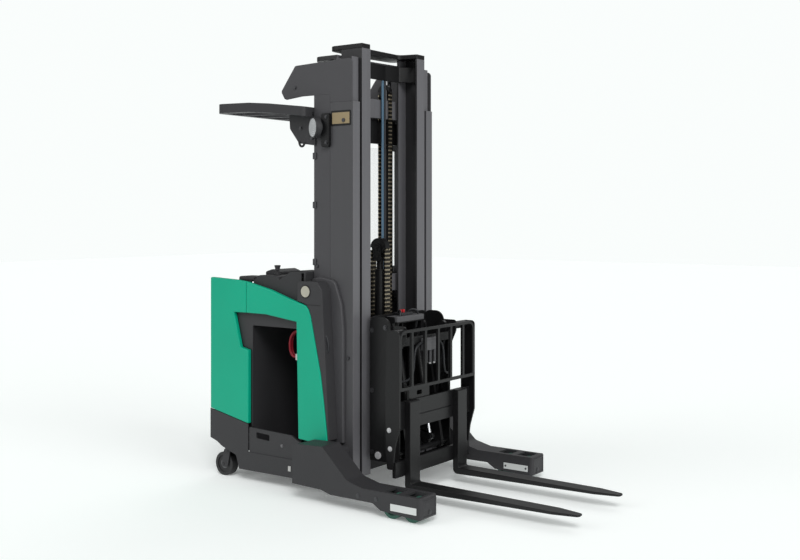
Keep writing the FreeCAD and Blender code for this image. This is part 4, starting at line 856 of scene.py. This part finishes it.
def make_dash_details(context):
    """The lever's boot and ball, the control pod, the display, and the steering wheel's cap and knob."""
    folds = [hoop("boot_%d" % k, raised(LEVER_FOOT, 0.005 + 0.005 * k), (0, 0, 1), 0.021 - 0.003 * k,
                  0.0035, sides=28) for k in range(4)]
    done(joined("lever_gaiter", folds), "chassis", "dark_plastic")
    ball = bar("lever_ball", raised(LEVER_FOOT, 0.026), raised(LEVER_FOOT, 0.062), 0.011, sides=28,
               edge=0.004, top=0.021)
    done(ball, "chassis", "dark_plastic")
    done(plate("control_pod", CONTROL_POD, "y", -0.40, -0.18, edge=0.006), "chassis", "dark_plastic")
    screen = box("display", (-0.862, -0.10, DASH_TOP - 0.001), (-0.79, 0.02, DASH_TOP + 0.012), edge=0.004)
    done(screen, "chassis", "dark_plastic", "pad_black")
    cap = bar("steer_cap", raised(STEER_HUB, 0.048), raised(STEER_HUB, 0.058), 0.026, sides=32, edge=0.003)
    done(cap, "chassis", "dark_plastic")
    grip = bar("steer_knob", raised(STEER_KNOB, 0.05), raised(STEER_KNOB, 0.1), 0.017, sides=28, edge=0.006)
    done(grip, "chassis", "dark_plastic")


# places on each side as X and Z, or as X, distance from the middle and Z
REFLECTOR = (-0.443, 1.211)
LEG_PLATE = ((0.312, 0.054), (0.486, 0.092))
LEG_PLATE_THICK = 0.003
LEG_PLATE_SCREWS = ((0.326, 0.073), (0.472, 0.073))
LEG_INNER_Y = 0.531
LEG_BOLTS = ((0.086, 0.1), (0.213, 0.1))
LOW_HEAD = 0.0035
PANEL_LINING = ((-1.243, 0.4915, 0.30), (-0.9115, 0.4985, 1.262))
ARM_REST_Y = (0.488, 0.36)
ARM_REST_Z = (1.252, 1.284)
SKIRT_MARK = ((-0.578, 0.115), (-0.557, 0.147))
GATE_BOLT = (-0.632, 0.261)
POD_SEAM = ((-0.455, 1.1305), (-0.325, 1.134))
SIDE_CORD = ((-0.39, 0.505, 1.0), (-0.345, 0.505, 1.0), (-0.295, 0.5, 0.955), (-0.285, 0.495, 0.89),
             (-0.3, 0.49, 0.825), (-0.345, 0.485, 0.8))


def upright(name, corners, start, end, edge=0.0):
    """A block between two corners given as X and Z and two values of Y."""
    (x1, z1), (x2, z2) = corners
    return box(name, (x1, start, z1), (x2, end, z2), edge)


def make_leg_details(word, side):
    """Plates, screws and bolts of one leg."""
    outer = side * (abs(low("leg_right").y) - LEG_RECESS)
    inner = side * LEG_INNER_Y
    thick = side * LEG_PLATE_THICK
    plates = [upright("leg_plate_out_" + word, LEG_PLATE, outer, outer + thick, 0.0008),
              upright("leg_plate_in_" + word, LEG_PLATE, inner, inner - thick, 0.0008)]
    done(joined("leg_plates_" + word, plates), "chassis", "connector_grey", "white_plate")
    side_bolts("leg_plate_screws_" + word, LEG_PLATE_SCREWS, inner - thick, -side, 0.005, "chassis")
    tip = high("leg_right").x - LEG_RECESS
    bolts("leg_end_bolt_" + word, [(tip, side * 0.604, 0.06)], (1, 0, 0), 0.012, "chassis", height=LOW_HEAD)
    side_bolts("leg_bolts_" + word, LEG_BOLTS, outer, side, 0.011, "chassis", height=LOW_HEAD)


def make_body_details(context):
    """Reflectors, leg plates, linings, arm rests, cords and bolts of the body."""
    for word, side in SIDES:
        pod = side * abs(low("front_panels").y)
        spot = Vector((REFLECTOR[0], pod, REFLECTOR[1]))
        out = Vector((0, side, 0))
        light = bar("pod_reflector_" + word, *along(spot, out, -0.002, 0.004), 0.034, sides=40, edge=0.0015)
        done(light, "chassis", "connector_grey", "cream")
        ring = hoop("pod_ring_" + word, spot + out * 0.001, (0, 1, 0), 0.037, 0.003)
        done(ring, "chassis", "black_steel")
        make_leg_details(word, side)
        lining = box("panel_lining_" + word, *[(x, side * y, z) for x, y, z in PANEL_LINING])
        done(lining, "chassis", "black_steel")
        rest = box("arm_rest_" + word, (-1.035, side * ARM_REST_Y[0], ARM_REST_Z[0]),
                   (low("dash").x + 0.002, side * ARM_REST_Y[1], ARM_REST_Z[1]), edge=0.01)
        done(rest, "chassis", "pad_black")
        skirt = side * abs(low("frame").y)
        mark = upright("skirt_mark_" + word, SKIRT_MARK, skirt, skirt + side * 0.002, 0.0008)
        done(mark, "chassis", "connector_grey")
        gate = side * abs(low("battery_gates").y)
        side_bolts("gate_bolt_" + word, (GATE_BOLT,), gate, side, 0.008, "chassis", look="hub_grey")
        seam = upright("pod_seam_" + word, POD_SEAM, pod - side * 0.002, pod + side * 0.0006)
        done(seam, "chassis", "black_steel")
        cord = tube("side_cord_" + word, [(x, side * y, z) for x, y, z in SIDE_CORD], 0.0065)
        done(cord, "chassis", "black_steel", "hose_black")


# the battery cables' run as distance from the wall and height, in millimetres
LEAD_PATH = ((0, 966), (-25, 966), (-62, 966), (-108, 944), (-129, 888), (-122, 830), (-102, 802),
             (-84, 802), (-70, 802))
LEAD_Y = (-0.452, -0.434)


def make_lead(context):
    """Two battery cables from the wall to their connector."""
    radius = context.scene.truck_sizes.cable
    wall = high("battery_lead").x
    cables = [tube("cable_%d" % k, [(wall + x / 1000, y, z / 1000) for x, z in LEAD_PATH], radius)
              for k, y in enumerate(LEAD_Y)]
    done(joined("battery_cables", cables), "chassis", "lead_red", None, ("battery_lead",))
    corner = low("battery_connector")
    opposite = high("battery_connector")
    shell = box("connector_shell", corner, opposite, edge=0.004)
    rib_wide = 0.006
    ribs = []
    for k in range(3):
        start = corner.x + 0.012 + 0.014 * k
        ribs.append(box("connector_rib_%d" % k, (start, corner.y - 0.0015, corner.z + 0.006),
                        (start + rib_wide, corner.y + 0.001, opposite.z - 0.006), edge=0.0006))
    done(joined("connector", [shell] + ribs), "chassis", "connector_grey", None, ("battery_connector",))


def make_wheels(context):
    """Hub faces of the wheels."""
    for number in (1, 2, 3, 4):
        node = "load_wheel_%d" % number
        centre = (low(node) + high(node)) / 2
        face = centre + Vector((0, math.copysign(0.038, centre.y), 0))
        ring = hoop("load_ring_%d" % number, face, (0, 1, 0), 0.03, 0.004, sides=40)
        done(ring, node, "tread_green", "hub_grey")
    centre = (low("caster_wheel") + high("caster_wheel")) / 2
    hubs = [bar("caster_hub_%d" % k, *along(centre, (0, way, 0), 0.0195, 0.022), 0.03, sides=40, edge=0.001)
            for k, way in enumerate((-1, 1))]
    done(joined("caster_hubs", hubs), "caster_wheel", "tyre_black", "hub_grey")


# bolts and pins of the reach mechanism on each side, as X and Z
SIDE_PINS = ((0.104, 0.316), (0.097, 0.423))
SIDE_PLATE_Y = 0.411
CHEEK_BOLTS = ((-0.12, 0.25), (-0.12, 0.62), (-0.12, 0.98), (-0.02, 1.0), (-0.085, 0.245))
CHEEK_Y = 0.29
# hoses on each side, as X, distance from the middle and Z
REACH_HOSE = ((-0.1, 0.05, 1.052), (-0.1, 0.05, 1.075), (-0.07, 0.07, 1.088), (-0.05, 0.09, 1.075),
              (-0.055, 0.1, 1.04), (-0.065, 0.1, 1.0), (-0.07, 0.1, 0.97))
TILT_HOSE = ((0.1, 0.07, 0.9), (0.1, 0.11, 0.9), (0.098, 0.15, 0.87), (0.098, 0.16, 0.8),
             (0.096, 0.165, 0.72), (0.085, 0.2, 0.68), (0.07, 0.25, 0.68), (0.065, 0.264, 0.68))
PLUG_Y = (-0.045, -0.015)
COIL_X = 0.103
COIL_Y = (-0.045, 0.0, 0.045)


def upright_bars(name, x, places, bottom, top, radius, sides, edge=0.0):
    """A row of short upright bars at several values of Y."""
    return [bar("%s_%d" % (name, k), (x, y, bottom), (x, y, top), radius, sides, edge)
            for k, y in enumerate(places)]


def make_carriage_details(context):
    """Pins, bolts, hoses, valves and caps of the reach mechanism."""
    for word, side in SIDES:
        side_bolts("side_pins_" + word, SIDE_PINS, side * SIDE_PLATE_Y, side, 0.011, "fork_frame",
                   look="bright")
        side_bolts("cheek_bolts_" + word, CHEEK_BOLTS, side * CHEEK_Y, side, 0.012, "carriage")
        hose = tube("reach_hose_" + word, [(x, side * y, z) for x, y, z in REACH_HOSE], 0.006)
        done(hose, "carriage", "hose_blue", "hose_black")
        ends = along((-0.07, side * CHEEK_Y, 0.235), (0, side, 0), 0, 0.012)
        roller = bar("carriage_roller_" + word, *ends, 0.022, sides=32, edge=0.004)
        done(roller, "carriage", "black_steel", "bright")
    manifold = box("valve_block", (-0.132, -0.06, 1.05), (-0.065, 0.06, 1.07), edge=0.003)
    done(manifold, "carriage", "black_steel", "dark_bolt")
    plugs = upright_bars("plug", -0.085, PLUG_Y, 1.069, 1.088, 0.009, 16, 0.002)
    done(joined("valve_plugs", plugs), "carriage", "lead_red", "plug_red")
    cap = box("carriage_cap", (-0.1195, -0.1425, 1.018), (-0.0385, 0.1425, 1.0515), edge=0.003)
    done(cap, "carriage", "black_steel", "tie_grey")
    body = box("tilt_valve", (0.0875, -0.075, 0.85), (0.118, 0.075, 0.925), edge=0.004)
    done(body, "reach_head", "black_steel", "tie_grey")
    coils = upright_bars("coil", COIL_X, COIL_Y, 0.775, 0.852, 0.014, 24, 0.002)
    done(joined("valve_coils", coils), "reach_head", "black_steel", "dark_bolt")
    ends = upright_bars("coil_end", COIL_X, COIL_Y, 0.765, 0.776, 0.008, 6)
    done(joined("coil_ends", ends), "reach_head", "black_steel", "bright")
    for word, side in SIDES:
        loop = tube("tilt_hose_" + word, [(x, side * y, z) for x, y, z in TILT_HOSE], 0.007)
        done(loop, "reach_head", "black_steel", "hose_black")


# name, place, strength and spread in degrees of each lamp
LAMPS = (("key_lamp", (3.5, -4.5, 5.5), 1.55, 25), ("front_lamp", (6.0, -0.9, 2.1), 1.05, 40),
         ("side_lamp", (-3.5, -5.2, 3.1), 0.6, 40), ("back_lamp", (-1.0, 4.0, 4.0), 0.35, 40))
FLOOR_SIZE = 60
FLOOR_GLOW = 0.14
SKY_LIGHT = 0.28
CAMERA_SPOT = (3.813, -5.438, 1.671)
CAMERA_TURN = math.radians(35.89)
CAMERA_LENS = 48.53
CAMERA_SENSOR = 36
CAMERA_SHIFT = -0.0812


def shine(name, spot, energy, spread):
    """An even lamp that shines from a spot towards the truck's foot, as from far away."""
    deselected()
    turn = (-Vector(spot)).to_track_quat("-Z", "Y").to_euler()
    bpy.ops.object.light_add(type="SUN", location=spot, rotation=turn)
    light = bpy.context.object
    light.name = name
    light.data.energy = energy
    light.data.angle = math.radians(spread)


def floor_paint(name, colour):
    """Matt floor colour that keeps shadows and shows pale to the camera and in reflections."""
    paint = Paint(name, colour, roughness=0.9, specular=0.0, glow=FLOOR_GLOW)
    seen = paint.path("Is Camera Ray") + paint.path("Is Glossy Ray") + paint.path("Is Transmission Ray")
    paint.feed(paint.shader.inputs["Emission Color"], paint.blend(seen.kept(), (0.0, 0.0, 0.0), colour))
    return paint.material


def make_stage(context):
    """Pale floor, even light and the camera."""
    colour = tuple(context.scene.truck_colours.backdrop)
    scene = context.scene
    deselected()
    bpy.ops.mesh.primitive_plane_add(size=FLOOR_SIZE, location=(0, 0, 0))
    floor = settled("studio_floor")
    floor.data.materials.append(floor_paint("Studio floor", colour))
    world = bpy.data.worlds.new("Studio")
    scene.world = world
    world.use_nodes = True
    sky = Nodes(world.node_tree)
    strength = sky.step("ShaderNodeMix", {"data_type": "FLOAT"},
                        {"Factor": sky.path("Is Camera Ray"), 2: SKY_LIGHT, 3: 1.0})
    air = world.node_tree.nodes["Background"]
    sky.feed(air.inputs["Color"], (*colour, 1))
    sky.feed(air.inputs["Strength"], strength.outputs[0])
    for name, spot, energy, spread in LAMPS:
        shine(name, spot, energy, spread)
    bpy.ops.object.camera_add(location=CAMERA_SPOT, rotation=(math.pi / 2, 0, CAMERA_TURN))
    camera = bpy.context.object
    camera.name = "studio_camera"
    camera.data.lens = CAMERA_LENS
    camera.data.sensor_width = CAMERA_SENSOR
    camera.data.shift_y = CAMERA_SHIFT
    scene.camera = camera
    scene.view_settings.view_transform = "Standard"


class TRUCK_OT_paint(bpy.types.Operator):
    """Give every node of the truck its finish"""

    bl_idname = "truck.paint"
    bl_label = "Finishes"
    bl_options = {"REGISTER", "UNDO"}

    def execute(self, context):
        paint_frame(context)
        return {"FINISHED"}


class TRUCK_OT_shells(bpy.types.Operator):
    """Round the edges of plates, castings and mouldings"""

    bl_idname = "truck.shells"
    bl_label = "Rounded shells"
    bl_options = {"REGISTER", "UNDO"}

    def execute(self, context):
        round_shells(context)
        return {"FINISHED"}


class TRUCK_OT_chains(bpy.types.Operator):
    """Lay leaf chains in the mast"""

    bl_idname = "truck.chains"
    bl_label = "Chains"
    bl_options = {"REGISTER", "UNDO"}

    def execute(self, context):
        make_chains(context)
        return {"FINISHED"}


class TRUCK_OT_mast(bpy.types.Operator):
    """Add clips, bolts and the keeper plate on the sides of the mast"""

    bl_idname = "truck.mast"
    bl_label = "Mast details"
    bl_options = {"REGISTER", "UNDO"}

    def execute(self, context):
        make_mast_details(context)
        return {"FINISHED"}


class TRUCK_OT_hoses(bpy.types.Operator):
    """Lay the hoses of the mast"""

    bl_idname = "truck.hoses"
    bl_label = "Mast hoses"
    bl_options = {"REGISTER", "UNDO"}

    def execute(self, context):
        make_mast_hoses(context)
        return {"FINISHED"}


class TRUCK_OT_guard(bpy.types.Operator):
    """Add the hook of the overhead guard"""

    bl_idname = "truck.guard"
    bl_label = "Guard details"
    bl_options = {"REGISTER", "UNDO"}

    def execute(self, context):
        make_guard_details(context)
        return {"FINISHED"}


class TRUCK_OT_lamp(bpy.types.Operator):
    """Turn the work lamp and add its rim, lens and holder"""

    bl_idname = "truck.lamp"
    bl_label = "Work lamp"
    bl_options = {"REGISTER", "UNDO"}

    def execute(self, context):
        make_lamp(context)
        return {"FINISHED"}


class TRUCK_OT_dash(bpy.types.Operator):
    """Add the controls, the pod and the display on the dash"""

    bl_idname = "truck.dash"
    bl_label = "Dash details"
    bl_options = {"REGISTER", "UNDO"}

    def execute(self, context):
        make_dash_details(context)
        return {"FINISHED"}


class TRUCK_OT_body(bpy.types.Operator):
    """Add reflectors, plates, pads, cords and bolts of the body and legs"""

    bl_idname = "truck.body"
    bl_label = "Body details"
    bl_options = {"REGISTER", "UNDO"}

    def execute(self, context):
        make_body_details(context)
        return {"FINISHED"}


class TRUCK_OT_lead(bpy.types.Operator):
    """Add the battery cables and their connector"""

    bl_idname = "truck.lead"
    bl_label = "Battery lead"
    bl_options = {"REGISTER", "UNDO"}

    def execute(self, context):
        make_lead(context)
        return {"FINISHED"}


class TRUCK_OT_wheels(bpy.types.Operator):
    """Add the hubs of the wheels"""

    bl_idname = "truck.wheels"
    bl_label = "Wheel hubs"
    bl_options = {"REGISTER", "UNDO"}

    def execute(self, context):
        make_wheels(context)
        return {"FINISHED"}


class TRUCK_OT_carriage(bpy.types.Operator):
    """Add pins, bolts, hoses and valves of the reach mechanism"""

    bl_idname = "truck.carriage"
    bl_label = "Carriage details"
    bl_options = {"REGISTER", "UNDO"}

    def execute(self, context):
        make_carriage_details(context)
        return {"FINISHED"}


class TRUCK_OT_stage(bpy.types.Operator):
    """Add the floor, lamps and camera"""

    bl_idname = "truck.stage"
    bl_label = "Studio"
    bl_options = {"REGISTER", "UNDO"}

    def execute(self, context):
        make_stage(context)
        return {"FINISHED"}


OPERATORS = (TRUCK_OT_paint, TRUCK_OT_shells, TRUCK_OT_chains, TRUCK_OT_mast,
             TRUCK_OT_hoses, TRUCK_OT_guard, TRUCK_OT_lamp, TRUCK_OT_dash, TRUCK_OT_body,
             TRUCK_OT_lead, TRUCK_OT_wheels, TRUCK_OT_carriage, TRUCK_OT_stage)


class TRUCK_PT_panel(bpy.types.Panel):
    """Steps and sizes of the reach truck"""

    bl_label = "Reach truck"
    bl_idname = "TRUCK_PT_panel"
    bl_space_type = "VIEW_3D"
    bl_region_type = "UI"
    bl_category = "Reach truck"

    def draw(self, context):
        for group in (context.scene.truck_sizes, context.scene.truck_colours):
            for field in group.bl_rna.properties.keys():
                if field not in ("rna_type", "name"):
                    self.layout.prop(group, field)
        for operator in OPERATORS:
            self.layout.operator(operator.bl_idname)


CLASSES = (TruckSizes, TruckColours, *OPERATORS, TRUCK_PT_panel)


def register():
    """Add the classes and their settings."""
    for part in CLASSES:
        bpy.utils.register_class(part)
    bpy.types.Scene.truck_sizes = bpy.props.PointerProperty(type=TruckSizes)
    bpy.types.Scene.truck_colours = bpy.props.PointerProperty(type=TruckColours)


def unregister():
    """Take the classes and their settings away."""
    del bpy.types.Scene.truck_colours
    del bpy.types.Scene.truck_sizes
    for part in reversed(CLASSES):
        bpy.utils.unregister_class(part)


def main():
    """Build every piece, then the studio."""
    register()
    for operator in OPERATORS:
        getattr(bpy.ops.truck, operator.bl_idname.split(".")[1])()


if __name__ == "__main__":
    main()
